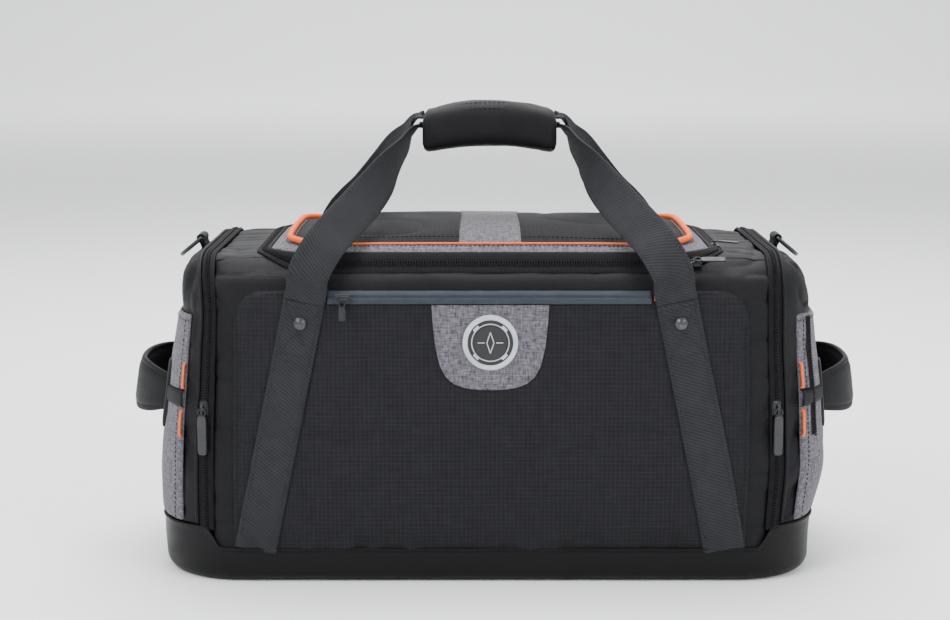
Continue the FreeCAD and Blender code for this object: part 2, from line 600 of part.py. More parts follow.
# ---------------------------------------------------------------- zip sliders
def slider(name, place, out, along, pull_length, pull_width, hang=Vector(0, 0, -1)):
    """A slider body on a tape face, and its pull hanging from a hinge on top.

    place is the point on the tape's face, out the face's outward direction, along
    the zip's direction and hang the way the pull lies.
    """
    out, along = out.normalize(), along.normalize()
    length, width, height = size("slider_length"), size("slider_width"), size("slider_height")
    across = along.cross(out)
    turn = FreeCAD.Rotation(across, along, out, "ZXY")
    foot = place + out * size("running_gap")
    corner = foot - across * (width / 2) - along * (length / 2)
    shell = doc.addObject("Part::Box", name + "Shell")
    shell.Placement = FreeCAD.Placement(corner, turn)
    bind(shell, Length="Sizes.slider_width", Width="Sizes.slider_length", Height="Sizes.slider_height")
    doc.recompute()
    soft = doc.addObject("Part::Fillet", name + "Body")
    soft.Base = shell
    edges = [n for n, edge in enumerate(shell.Shape.Edges, start=1)
             if abs((edge.Vertexes[1].Point - edge.Vertexes[0].Point).normalize().dot(out)) > 0.9]
    soft.Edges = [(n, 2.5, 2.5) for n in edges]
    node(soft, name)

    flat = doc.addObject("Part::Box", name + "PullPlate")
    down = (hang - out * hang.dot(out)).normalize()
    side = down.cross(out)
    turn = FreeCAD.Rotation(side, down, out, "ZXY")
    hinge = foot + out * (height + 2 * size("running_gap") + size("pull_thickness") / 2)
    corner = hinge - side * (pull_width / 2) - down - out * (size("pull_thickness") / 2)
    flat.Placement = FreeCAD.Placement(corner, turn)
    bind(flat, Length=str(pull_width), Width=str(pull_length), Height="Sizes.pull_thickness")
    node(flat, name.replace("slider", "pull"))
    return hinge


def surface_point(x, z):
    """A point on the front wall or its shoulder, with the outward direction there."""
    radius = size("shoulder_radius")
    centre = Vector(x, -size("body_depth") / 2 + radius, size("deck_height") - radius)
    if z <= centre.z:
        return Vector(x, -size("body_depth") / 2, z), Vector(0, -1, 0)
    rise = z - centre.z
    out = Vector(0, -math.sqrt(radius ** 2 - rise ** 2), rise).normalize()
    return centre + out * radius, out


def corner_point(x, z):
    """A point on the rounded vertical corner of the front, and its outward direction."""
    radius = size("corner_radius")
    sign = math.copysign(1, x)
    centre = Vector(sign * (size("body_length") / 2 - radius), -size("body_depth") / 2 + radius, z)
    across = abs(x) - abs(centre.x)
    out = Vector(sign * across, -math.sqrt(radius ** 2 - across ** 2), 0).normalize()
    return centre + out * radius, out


def sliders():
    hinges = {}
    sideways = Vector(1, 0, 0)
    face = -size("body_depth") / 2 - size("pocket_thickness") - 1.5
    place = Vector(-size("pocket_zip_length") / 2 + size("pocket_slider_inset"), face,
                   size("pocket_zip_low") + size("pocket_zip_height") / 2)
    width, long = size("pull_width"), size("lid_pull_length")
    hinges["pocket_slider"] = slider("pocket_slider", place, Vector(0, -1, 0), sideways,
                                     size("pocket_pull_length"), width)
    zip_y = size("lid_depth") / 2 + size("lid_slider_offset")
    radius = size("shoulder_radius")
    rise = math.sqrt(radius ** 2 - (zip_y - size("body_depth") / 2 + radius) ** 2)
    place, out = surface_point(size("lid_slider_place"), size("deck_height") - radius + rise)
    hinges["lid_slider_front"] = slider("lid_slider_front", place, out, sideways, long, width, sideways)
    place = Vector(size("lid_length") / 2 + size("side_slider_offset"), -size("side_slider_place"),
                   size("deck_height"))
    hinges["lid_slider_side"] = slider("lid_slider_side", place, Vector(0, 0, 1), Vector(0, 1, 0), long,
                                       width, Vector(0.78, -0.62, 0))
    for side, sign in SIDES.items():
        x = sign * (size("end_zip_inner") + size("end_zip_outer")) / 2
        place, out = corner_point(x, size("end_slider_height"))
        name = f"{side}_end_slider"
        hinges[name] = slider(name, place, out, Vector(0, 0, 1), size("end_pull_length"),
                              size("end_pull_width"))
    return hinges


outer_form = carcass()
insides()
front_pocket()
sewn_straps()
carrying_handles()
lid()
end_details(outer_form)
pull_hinges = sliders()
doc.recompute()

# ---------------------------------------------------------------- check and write
for item in doc.Objects:
    if "Invalid" in item.State or "Error" in item.State:
        raise RuntimeError(f"{item.Label} did not recompute: {item.State}")
os.makedirs("parts", exist_ok=True)
for item in NODES:
    if item.Shape.isNull() or not item.Shape.isValid() or item.Shape.Volume < 1:
        raise RuntimeError(f"{item.Label} has no sound solid")
    item.Shape.exportStep(f"parts/{item.Label}.step")
for name, point in pull_hinges.items():
    print("pull hinge", name, [round(value, 3) for value in point])
print(len(NODES), "nodes")
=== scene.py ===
import json
import math

import bmesh
import bpy
import numpy as np
from bpy.props import FloatProperty, FloatVectorProperty, PointerProperty
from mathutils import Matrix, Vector


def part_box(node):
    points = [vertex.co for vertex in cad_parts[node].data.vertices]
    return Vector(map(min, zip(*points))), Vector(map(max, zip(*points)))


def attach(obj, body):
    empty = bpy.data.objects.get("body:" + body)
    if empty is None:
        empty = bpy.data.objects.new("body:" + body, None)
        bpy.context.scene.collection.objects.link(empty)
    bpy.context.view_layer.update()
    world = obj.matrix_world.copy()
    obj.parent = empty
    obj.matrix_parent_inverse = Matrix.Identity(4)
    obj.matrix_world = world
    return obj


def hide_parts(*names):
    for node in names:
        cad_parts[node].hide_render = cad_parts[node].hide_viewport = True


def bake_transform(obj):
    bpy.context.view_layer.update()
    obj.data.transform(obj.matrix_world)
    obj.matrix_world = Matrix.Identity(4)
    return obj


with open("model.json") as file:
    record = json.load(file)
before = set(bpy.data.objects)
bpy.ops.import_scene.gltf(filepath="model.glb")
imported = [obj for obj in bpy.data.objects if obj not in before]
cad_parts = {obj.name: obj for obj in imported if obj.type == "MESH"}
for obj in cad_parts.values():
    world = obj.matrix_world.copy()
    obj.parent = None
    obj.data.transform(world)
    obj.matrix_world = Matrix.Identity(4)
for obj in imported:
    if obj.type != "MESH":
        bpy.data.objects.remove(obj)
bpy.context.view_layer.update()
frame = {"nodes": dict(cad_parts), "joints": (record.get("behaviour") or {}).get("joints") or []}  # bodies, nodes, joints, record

bl_info = {
    "name": "Flight Bag",
    "version": (1, 0, 0),
    "blender": (4, 5, 0),
    "location": "View3D > Sidebar > Flight Bag",
    "description": "Builds a soft flight bag round its packed frame, piece by piece",
    "category": "Object",
}

SIDES = {"left": -1, "right": 1}

# Shapes are worked out in millimetres and turned into metres as they go into a mesh.
MM = 0.001


def box_mm(node):
    """Lowest and highest corner of a CAD node at rest, in millimetres."""
    low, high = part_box(node)
    return np.array(low) / MM, np.array(high) / MM


def linear(colour):
    """An sRGB hex colour as linear red, green and blue."""
    values = np.array([int(colour[i:i + 2], 16) for i in (1, 3, 5)]) / 255
    return tuple(np.where(values <= 0.04045, values / 12.92, ((values + 0.055) / 1.055) ** 2.4))


# ---------------------------------------------------------------- the bag's own form

HALF_LENGTH, HALF_DEPTH = box_mm("base_boot")[1][:2]
DECK = box_mm("left_deck_panel")[1][2]
CORNER, SHOULDER, FOOT = 75.0, 45.0, 12.0
WALL_TOP = DECK - SHOULDER
OVER = SHOULDER * math.pi / 2
GIRTH = 2 * (WALL_TOP + OVER + HALF_DEPTH - SHOULDER)
BOOT_TOP = box_mm("front_panel")[0][2]
BOOT_END_TOP = box_mm("left_end_panel")[0][2]
ZIP_HALF = box_mm("main_zip_tape")[1][:2]
LID_LOW, LID_HIGH = box_mm("lid_border")
LID_HALF = LID_HIGH[:2]
LID_CROWN = box_mm("lid_top_panel")[1][2]
POCKET_HIGH = box_mm("front_pocket")[1]
SEAM_X = box_mm("front_panel")[1][0]
FLAP_X = box_mm("right_end_panel")[0][0]
END_ZIP_X = 260.0
END_POCKET_X, END_POCKET_TOP, END_POCKET_WAY = 283, 246, 300
HANDLE_HALF, HANDLE_HEIGHT = 84.0, 167.0


def smooth(value):
    """Zero below 0, one above 1, and an S-curve between them."""
    value = np.clip(value, 0, 1)
    return value * value * (3 - 2 * value)


def noise(points, size, seed=0):
    """Smooth field from -1 to 1: seeded values on a lattice `size` apart, blended by a quintic."""
    table = np.random.default_rng(seed).uniform(-1, 1, 4096)
    scaled = points / size
    cell = np.floor(scaled).astype(np.int64)
    part = scaled - cell
    weight = part ** 3 * (part * (part * 6 - 15) + 10)
    total = 0
    for corner in np.ndindex(2, 2, 2):
        place = cell + np.array(corner)
        key = (place[..., 0] * 73856093) ^ (place[..., 1] * 19349663) ^ (place[..., 2] * 83492791)
        share = np.prod(np.where(np.array(corner) == 1, weight, 1 - weight), axis=-1)
        total = total + share * table[key & 4095]
    return total


def creases(points, size, stretch, seed):
    """Narrow ridges where a stretched noise field passes through zero, from 0 to 1."""
    bent = points * np.array(stretch) + 6 * np.stack(
        [noise(points, 60, seed + k) for k in (7, 8, 9)], axis=-1)
    return (1 - np.abs(noise(bent, size, seed))) ** 5


def plan_distance(x, y, half_x, half_y, radius):
    """Signed distance in plan to a rounded rectangle, less than zero inside it."""
    out_x, out_y = np.abs(x) - half_x + radius, np.abs(y) - half_y + radius
    corner = np.hypot(np.maximum(out_x, 0), np.maximum(out_y, 0))
    return corner + np.minimum(np.maximum(out_x, out_y), 0) - radius


def form_distance(points):
    """Signed distance to the bag: a rounded rectangle in plan with a rounded shoulder and foot."""
    plan = plan_distance(points[..., 0], points[..., 1], HALF_LENGTH, HALF_DEPTH, CORNER)
    edge = np.where(points[..., 2] > DECK / 2, SHOULDER, FOOT)
    level = np.abs(points[..., 2] - DECK / 2) - DECK / 2
    beyond = np.hypot(np.maximum(plan + edge, 0), np.maximum(level + edge, 0))
    return beyond + np.minimum(np.maximum(plan, level) + edge, 0) - edge


def form_normal(points):
    """Outward direction of the form: the distance's slope along each axis, made one long."""
    slopes = []
    for axis in np.eye(3) * 0.05:
        slopes.append(form_distance(points + axis) - form_distance(points - axis))
    slope = np.stack(slopes, axis=-1)
    return slope / np.maximum(np.linalg.norm(slope, axis=-1, keepdims=True), 1e-9)


def lifted(points, lift):
    """Points moved out from the form along its normal."""
    return points + form_normal(points) * np.asarray(lift)[..., None]


def skin(x, way, lift=0.0):
    """Point on the cross-section at x, `way` round it from the front foot over the deck to the
    rear foot: up the wall, round the shoulder's arc, over the deck and down again. Where the
    plan's corner narrows the section, the point slides in along y and z until it meets the form."""
    x, way, lift = np.broadcast_arrays(*(np.asarray(v, dtype=float) for v in (x, way, lift)))
    near = np.minimum(way, GIRTH - way)
    angle = np.clip((near - WALL_TOP) / SHOULDER, 0, math.pi / 2)
    y = -HALF_DEPTH + SHOULDER * (1 - np.cos(angle)) + np.maximum(near - WALL_TOP - OVER, 0)
    z = np.minimum(near, WALL_TOP) + SHOULDER * np.sin(angle)
    points = np.stack([x, np.where(way > GIRTH / 2, -y, y), z], axis=-1)
    for _ in range(6):
        slope = form_normal(points)
        slope[..., 0] = 0
        reach = form_distance(points) / np.maximum(np.sum(slope ** 2, axis=-1), 0.05)
        points = points - slope * reach[..., None]
    return lifted(points, lift)


def way_up(z):
    """Distance round the section at a height on the front."""
    return np.where(z > WALL_TOP, WALL_TOP + SHOULDER * np.arcsin(
        np.clip((z - WALL_TOP) / SHOULDER, 0, 1)), z)


def deck_height(x, y):
    """Height of the form's top over a point in plan: flat, then down the shoulder's arc."""
    inset = np.clip(plan_distance(x, y, HALF_LENGTH, HALF_DEPTH, CORNER) + SHOULDER, 0, SHOULDER)
    return WALL_TOP + np.sqrt(SHOULDER ** 2 - inset ** 2)


def cast(origin, direction):
    """Where rays from inside meet the form, by halving the interval that holds the surface."""
    near, far = np.zeros(direction.shape[:-1]), np.full(direction.shape[:-1], 500.0)
    for _ in range(34):
        middle = (near + far) / 2
        inside = form_distance(origin + direction * middle[..., None]) < 0
        near, far = np.where(inside, middle, near), np.where(inside, far, middle)
    return origin + direction * near[..., None]


# Outward lean of each end at a few heights: the empty bag swells low down and draws in at the top.
LEAN_HEIGHTS = (0, 20, 60, 96, 116, 140, 170, 200, 220, 254, 280, 290, 300, 330)
LEAN = {
    -1: (0, 1, 1, 0, -1, -3, -8, -12, -15, -18, -12, -8, -4, -2),
    1: (-3, -3, 1, 8, 9, 7, 4, 0, -3, -6, -6, -4, -2, 0),
}


def lean_table(side):
    """The lean on a 1 mm grid of heights, averaged twice over 25 mm so that it has no kinks."""
    fine = np.interp(np.arange(-40, 480), LEAN_HEIGHTS, LEAN[side])
    box = np.ones(25) / 25
    return np.convolve(np.convolve(fine, box, mode="same"), box, mode="same")


LEAN_TABLES = {side: lean_table(side) for side in (-1, 1)}


def settle(points):
    """How the soft bag departs from its drawn form: each end leans by the sixth power of the way
    to it, the front belly comes forward a little, and broad shallow dents wander over it all."""
    x, y, z = points[..., 0], points[..., 1], points[..., 2]
    reach = np.minimum(np.abs(x) / HALF_LENGTH, 1) ** 6
    lean = np.where(x < 0, -np.interp(z, np.arange(-40, 480), LEAN_TABLES[-1]),
                    np.interp(z, np.arange(-40, 480), LEAN_TABLES[1]))
    moved = points.copy()
    moved[..., 0] += lean * reach * smooth((330 - z) / 20)
    wall = smooth(z / 60) * smooth((268 - z) / 60)
    dent = 1.6 * noise(points, 95, 3) + 0.8 * noise(points, 45, 4)
    front = smooth((np.abs(y) - 60) / 60) * np.sign(y)
    moved[..., 1] += front * wall * (1.5 * smooth((250 - np.abs(x)) / 120) + dent)
    ends = smooth((np.abs(x) - 240) / 50) * np.sign(x)
    moved[..., 0] += ends * wall * dent
    return moved


# ---------------------------------------------------------------- paths and patches


def resample(points, count, closed=False):
    """The same line with evenly spaced points."""
    points = np.asarray(points, dtype=float)
    if closed:
        points = np.concatenate([points, points[:1]])
    along = np.concatenate([[0], np.cumsum(np.linalg.norm(np.diff(points, axis=0), axis=-1))])
    ways = np.linspace(0, along[-1], count)
    return np.stack([np.interp(ways, along, points[:, k]) for k in range(points.shape[1])], axis=-1)


def spline(stations, count):
    """A smooth line through stations (Catmull-Rom: each span leaves and arrives along the
    chord of its neighbours), with evenly spaced points."""
    stations = np.asarray(stations, dtype=float)
    steps = np.linspace(0, len(stations) - 1, 24 * len(stations))
    span = np.minimum(steps.astype(int), len(stations) - 2)
    part = (steps - span)[:, None]
    padded = np.concatenate([2 * stations[:1] - stations[1:2], stations,
                             2 * stations[-1:] - stations[-2:-1]])
    a, b, c, d = (padded[span + k] for k in range(4))
    line = 0.5 * (2 * b + (c - a) * part + (2 * a - 5 * b + 4 * c - d) * part ** 2
                  + (3 * b - a - 3 * c + d) * part ** 3)
    return resample(line, count)


def rounded_loop(half_x, half_y, radius, count):
    """Points round a rounded rectangle, the first one again at the end: (count, 2)."""
    angles = np.linspace(0, math.pi / 2, 24)
    parts = [[(half_x, 0)]]
    for turn, (sx, sy) in enumerate(((1, 1), (-1, 1), (-1, -1), (1, -1))):
        round_corner = angles + turn * math.pi / 2
        parts.append(np.stack([sx * (half_x - radius) + radius * np.cos(round_corner),
                               sy * (half_y - radius) + radius * np.sin(round_corner)], axis=-1))
    return resample(np.concatenate(parts), count, closed=True)


def unit(vectors):
    return vectors / np.maximum(np.linalg.norm(vectors, axis=-1, keepdims=True), 1e-9)


def headings(path):
    """Direction of a line at each point, the same at both ends of a closed one."""
    ahead = np.gradient(path, axis=0)
    if np.allclose(path[0], path[-1]):
        ahead[0] = ahead[-1] = path[1] - path[-2]
    return unit(ahead)


def patch(points, uv=None, keep=None, inside=None):
    """Quads between neighbours of a grid of points (..., rows, columns, 3), facing away from
    `inside` or from the grid's own middle. The cloth coordinates are lengths along both
    directions of the grid, in metres."""
    points = np.asarray(points, dtype=float)
    columns = points.shape[-2]
    if uv is None:
        across = np.cumsum(np.linalg.norm(np.diff(points, axis=-2, prepend=points[..., :1, :]),
                                          axis=-1), axis=-1)
        across = across - across[..., columns // 2][..., None]
        along = np.cumsum(np.linalg.norm(np.diff(points, axis=-3, prepend=points[..., :1, :, :]),
                                         axis=-1), axis=-2)
        uv = np.stack([across, along], axis=-1)
    index = np.arange(points[..., 0].size).reshape(points.shape[:-1])
    quads = np.stack([index[..., :-1, :-1], index[..., :-1, 1:], index[..., 1:, 1:],
                      index[..., 1:, :-1]], axis=-1)
    if keep is not None:
        quads = quads[keep]
    quads = quads.reshape(-1, 4)
    flat = points.reshape(-1, 3)
    normal = np.cross(flat[quads[:, 2]] - flat[quads[:, 0]], flat[quads[:, 3]] - flat[quads[:, 1]])
    middle = flat.mean(axis=0) if inside is None else np.asarray(inside, dtype=float)
    if np.sum(normal * (flat[quads].mean(axis=1) - middle)) < 0:
        quads = quads[:, ::-1]
    return flat, quads, np.asarray(uv, dtype=float).reshape(-1, 2)[quads.reshape(-1)] * MM


def sweep(path, across, profile, scale=None):
    """A closed profile (across, up) carried along a path and closed at both ends by a point,
    unless the path is closed. `across` is the profile's first direction at each point."""
    path, profile = np.asarray(path, dtype=float), np.asarray(profile, dtype=float)
    profile = np.concatenate([profile, profile[:1]])
    ahead = headings(path)
    across = np.broadcast_to(across, path.shape)
    across = unit(across - ahead * np.sum(across * ahead, axis=-1, keepdims=True))
    up = np.cross(ahead, across)
    scale = np.ones((len(path), 2)) if scale is None else np.asarray(scale)
    rings = (path[:, None] + across[:, None] * (scale[:, None, :1] * profile[None, :, :1])
             + up[:, None] * (scale[:, None, 1:] * profile[None, :, 1:]))
    if not np.allclose(path[0], path[-1]):
        ends = [np.broadcast_to(ring.mean(axis=0), ring.shape)[None] for ring in (rings[0], rings[-1])]
        rings = np.concatenate([ends[0], rings, ends[1]])
        path = np.concatenate([path[:1], path, path[-1:]])
    round_it = np.concatenate([[0], np.cumsum(np.linalg.norm(np.diff(profile, axis=0), axis=-1))])
    along = np.concatenate([[0], np.cumsum(np.linalg.norm(np.diff(path, axis=0), axis=-1))])
    uv = np.stack(np.broadcast_arrays(round_it[None, :], along[:, None]), axis=-1)
    flat, quads, cloth = patch(rings, uv=uv)
    return faced_out(flat, quads, cloth)


def faced_out(flat, quads, cloth):
    """Turns a closed patch the right way out by the sign of the volume that it encloses."""
    a, b, c, d = (flat[quads[:, k]] for k in range(4))
    volume = np.sum(a * np.cross(b, c)) + np.sum(a * np.cross(c, d))
    if volume >= 0:
        return flat, quads, cloth
    return flat, quads[:, ::-1], cloth.reshape(-1, 4, 2)[:, ::-1].reshape(-1, 2)


def circle(radius, sides=10):
    angles = np.linspace(0, 2 * math.pi, sides, endpoint=False)
    return np.stack([np.cos(angles), np.sin(angles)], axis=-1) * radius


def tape_profile(width, thickness):
    """Flat oval of a woven strap: a rectangle whose two short edges are half round."""
    turn = np.linspace(-math.pi / 2, math.pi / 2, 6)
    end = np.stack([np.cos(turn), np.sin(turn)], axis=-1) * thickness / 2
    right = end + [width / 2 - thickness / 2, 0]
    top = np.stack([np.linspace(width / 2 - thickness, thickness - width / 2, 9)[1:-1],
                    np.full(7, thickness / 2)], axis=-1)
    return np.concatenate([right, top, -right, -top])


def tube(path, radius, side=(0, 0, 1), sides=10):
    """A round cord of cloth or wire along a path."""
    return sweep(path, side, circle(radius, sides))


def block(centre, axes, half, power=0.35, rows=14, columns=24):
    """A soft-edged block: a sphere whose sines and cosines are raised to a small power, which
    squares it, stretched to three half sizes along three axes."""
    lat = np.linspace(-math.pi / 2, math.pi / 2, rows)[:, None]
    lon = np.linspace(0, 2 * math.pi, columns)[None, :]

    def squared(value):
        return np.sign(value) * np.abs(np.where(np.abs(value) < 1e-9, 0, value)) ** power

    local = np.stack(np.broadcast_arrays(squared(np.cos(lat)) * squared(np.cos(lon)),
                                         squared(np.cos(lat)) * squared(np.sin(lon)),
                                         squared(np.sin(lat)) + 0 * lon), axis=-1) * np.array(half)
    return faced_out(*patch(np.asarray(centre) + local @ unit(np.asarray(axes, dtype=float))))


def turned(centre, axis, profile, sides=48):
    """A profile (radius, height) turned round an axis through a centre."""
    axis = unit(np.asarray(axis, dtype=float))
    first = unit(np.cross(axis, (0, 0, 1) if abs(axis[2]) < 0.9 else (1, 0, 0)))
    second = np.cross(axis, first)
    angle = np.linspace(0, 2 * math.pi, sides + 1)
    ring = np.cos(angle)[:, None] * first + np.sin(angle)[:, None] * second
    profile = np.asarray(profile, dtype=float)
    return faced_out(*patch(np.asarray(centre) + ring[None] * profile[:, None, :1]
                            + axis * profile[:, None, 1:]))


def beads(path, up, length, radius, pitch, along=True, sides=5):
    """Small round-ended rods spaced evenly on a path: stitches lying along it, or zip coils
    lying across it."""
    path = np.asarray(path, dtype=float)
    total = np.sum(np.linalg.norm(np.diff(path, axis=0), axis=-1))
    count = max(int(total / pitch), 2)
    up = np.broadcast_to(up, path.shape)
    line = resample(np.concatenate([path, up * 1e-3], axis=-1), count)
    spots, ahead, high = line[:, :3], headings(line[:, :3]), unit(line[:, 3:])
    across = unit(np.cross(ahead, high))
    high = np.cross(across, ahead)
    run, side = (ahead, across) if along else (across, ahead)
    angle = np.linspace(0, 2 * math.pi, sides + 1)
    ends = np.array([(-0.5, 0), (-0.38, 0.85), (0, 1), (0.38, 0.85), (0.5, 0)])
    bead = (run[:, None, None] * (ends[:, 0] * length)[None, :, None, None]
            + side[:, None, None] * (ends[:, 1, None] * np.cos(angle))[None, :, :, None] * radius
            + high[:, None, None] * (ends[:, 1, None] * np.sin(angle))[None, :, :, None] * radius)
    grid = spots[:, None, None] + bead
    flat, quads, cloth = patch(grid)
    return faced_out(flat, quads, cloth)


def make(name, body, slot, patches, nodes=(), wall=0.0, sharp=None, settled=True):
    """Puts patches into one object, rides it on a body if one is given, and hides the CAD nodes that it
    stands for."""
    flats, faces, cloths, start = [], [], [], 0
    for flat, quads, cloth in patches:
        flats.append(flat)
        faces.append(quads + start)
        cloths.append(cloth)
        start += len(flat)
    points = np.concatenate(flats)
    if settled:
        points = settle(points)
    mesh = bpy.data.meshes.new(name)
    mesh.from_pydata((points * MM).tolist(), [], np.concatenate(faces).tolist())
    mesh.uv_layers.new(name="cloth").data.foreach_set("uv", np.concatenate(cloths).ravel())
    shape = bmesh.new()
    shape.from_mesh(mesh)
    bmesh.ops.remove_doubles(shape, verts=shape.verts, dist=2e-6)
    bmesh.ops.dissolve_degenerate(shape, edges=shape.edges, dist=1e-6)
    bmesh.ops.delete(shape, geom=[v for v in shape.verts if not v.link_faces], context="VERTS")
    shape.to_mesh(mesh)
    shape.free()
    mesh.polygons.foreach_set("use_smooth", np.ones(len(mesh.polygons), dtype=bool))
    if sharp:
        mesh.set_sharp_from_angle(angle=math.radians(sharp))
    piece = bpy.data.objects.new(name, mesh)
    bpy.context.scene.collection.objects.link(piece)
    if wall:
        skin_wall = piece.modifiers.new("Wall", "SOLIDIFY")
        skin_wall.thickness, skin_wall.offset = wall * MM, -1
        skin_wall.use_even_offset = False
    mesh.materials.append(finish(slot))
    if body:
        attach(piece, body)
    if nodes:
        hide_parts(*nodes)
    return piece


# ---------------------------------------------------------------- finishes


def add(tree, kind, inputs=None, **settings):
    """A node of one kind with its settings, its inputs given as values or as sockets to link."""
    made = tree.nodes.new(kind)
    for name, value in settings.items():
        setattr(made, name, value)
    for socket, value in (inputs or {}).items():
        if isinstance(value, bpy.types.NodeSocket):
            tree.links.new(value, made.inputs[socket])
        else:
            made.inputs[socket].default_value = value
    return made


def ribs(tree, cloth, period, direction="X", wander=0.0):
    """Ridges `period` mm apart along one cloth direction, from 0 to 1."""
    return add(tree, "ShaderNodeTexWave", {
        "Vector": cloth, "Scale": math.pi / (10 * period * MM), "Distortion": wander,
        "Detail": 1.0, "Detail Scale": 1.5}, bands_direction=direction).outputs["Fac"]


def work_out(tree, operation, first, second):
    return add(tree, "ShaderNodeMath", {0: first, 1: second}, operation=operation).outputs[0]


def speckle(tree, cloth, size, stretch=(1, 1, 1)):
    """Noise whose blotches are `size` mm across before they are stretched."""
    spread = add(tree, "ShaderNodeMapping", {"Vector": cloth, "Scale": stretch}).outputs[0]
    return add(tree, "ShaderNodeTexNoise", {"Vector": spread, "Scale": 1 / (size * MM),
                                            "Detail": 3.0}).outputs["Fac"]


def start_finish(name, roughness, **sockets):
    """An empty material: its node tree, its shader and the piece's own cloth coordinates."""
    material = bpy.data.materials.new(name)
    material.use_nodes = True
    tree = material.node_tree
    shader = tree.nodes["Principled BSDF"]
    shader.inputs["Roughness"].default_value = roughness
    for socket, value in sockets.items():
        shader.inputs[socket.replace("_", " ")].default_value = value
    cloth = add(tree, "ShaderNodeUVMap", uv_map="cloth").outputs[0]
    return material, tree, shader, cloth


def coloured(tree, shader, share, dark, light):
    """Mixes two colours by a share from 0 to 1 and gives the shader the result."""
    mixed = add(tree, "ShaderNodeMix", {0: share, 6: (*dark, 1), 7: (*light, 1)}, data_type="RGBA")
    tree.links.new(mixed.outputs[2], shader.inputs["Base Color"])


def embossed(tree, shader, height, depth, strength=0.6):
    """Lets a height from 0 to 1, `depth` mm deep, shade the surface."""
    bump = add(tree, "ShaderNodeBump", {"Height": height, "Distance": depth * MM,
                                        "Strength": strength})
    tree.links.new(bump.outputs[0], shader.inputs["Normal"])


def ripstop_nylon(name, dark, light):
    """Ripstop nylon, woven with a doubled thread every 4 mm both ways: a fine raised grid on a
    dull, slightly slubby ground. The ground weave is drawn at 1.4 mm to show at all."""
    material, tree, shader, cloth = start_finish(
        name, 0.68, Specular_IOR_Level=0.09)
    grid = work_out(tree, "MAXIMUM",
                    work_out(tree, "POWER", ribs(tree, cloth, 4.0, "X", 0.6), 9.0),
                    work_out(tree, "POWER", ribs(tree, cloth, 4.0, "Y", 0.6), 9.0))
    ground = work_out(tree, "MULTIPLY", ribs(tree, cloth, 1.4, "X"), ribs(tree, cloth, 1.4, "Y"))
    slub = work_out(tree, "MULTIPLY", speckle(tree, cloth, 3.0, (0.12, 1, 1)),
                    speckle(tree, cloth, 3.0, (1, 0.12, 1)))
    share = work_out(tree, "ADD", work_out(tree, "MULTIPLY", grid, 0.35),
                     work_out(tree, "MULTIPLY", slub, 0.9))
    coloured(tree, shader, share, dark, light)
    embossed(tree, shader, work_out(tree, "ADD", grid, work_out(tree, "MULTIPLY", ground, 0.5)), 0.3)
    return material


def oxford_nylon(name, dark, light):
    """Plain-weave nylon, dyed black: an even, faintly glossy cloth with a fine basket of threads
    (1.6 mm here, so that it shows) and slow changes of shade where it has been handled."""
    material, tree, shader, cloth = start_finish(
        name, 0.55, Specular_IOR_Level=0.12)
    ground = work_out(tree, "MULTIPLY", ribs(tree, cloth, 1.6, "X"), ribs(tree, cloth, 1.6, "Y"))
    share = work_out(tree, "ADD", work_out(tree, "MULTIPLY", ground, 0.3),
                     work_out(tree, "MULTIPLY", speckle(tree, cloth, 40), 0.6))
    coloured(tree, shader, share, dark, light)
    embossed(tree, shader, work_out(tree, "ADD", ground, speckle(tree, cloth, 9)), 0.35)
    return material


def heather_polyester(name, dark, light):
    """Heather polyester, woven from mixed pale and dark yarns: a soft mottle of short streaks,
    6 mm long and 1 mm wide, both along and across, under a matt brushed face."""
    material, tree, shader, cloth = start_finish(
        name, 0.85, Sheen_Weight=0.08, Sheen_Roughness=0.6, Specular_IOR_Level=0.15)
    streaks = work_out(tree, "ADD", speckle(tree, cloth, 1.6, (0.22, 1, 1)),
                       speckle(tree, cloth, 1.6, (1, 0.22, 1)))
    ramp = add(tree, "ShaderNodeMapRange", {0: streaks, 1: 0.72, 2: 1.28}).outputs[0]
    ground = work_out(tree, "MULTIPLY", ribs(tree, cloth, 1.5, "X"), ribs(tree, cloth, 1.5, "Y"))
    share = work_out(tree, "ADD", work_out(tree, "MULTIPLY", ramp, 0.8),
                     work_out(tree, "MULTIPLY", ground, 0.2))
    coloured(tree, shader, share, dark, light)
    embossed(tree, shader, work_out(tree, "ADD", ramp, ground), 0.25)
    return material


def coated_polyester(name, dark, light):
    """Polyester with a thick polyurethane face, calendered: a smooth, slightly glossy black
    base cloth with a shallow pebble of about 2 mm and scuffs that dull it."""
    material, tree, shader, cloth = start_finish(name, 0.42, Specular_IOR_Level=0.14)
    scuff = speckle(tree, cloth, 25, (0.4, 1, 1))
    pebble = add(tree, "ShaderNodeTexVoronoi", {"Vector": cloth, "Scale": 1 / (2.0 * MM)},
                 feature="SMOOTH_F1").outputs["Distance"]
    coloured(tree, shader, scuff, dark, light)
    worn = add(tree, "ShaderNodeMapRange", {0: scuff, 1: 0.3, 2: 0.7, 3: 0.36, 4: 0.55})
    tree.links.new(worn.outputs[0], shader.inputs["Roughness"])
    embossed(tree, shader, work_out(tree, "SUBTRACT", 1.0, pebble), 0.3, 0.35)
    return material


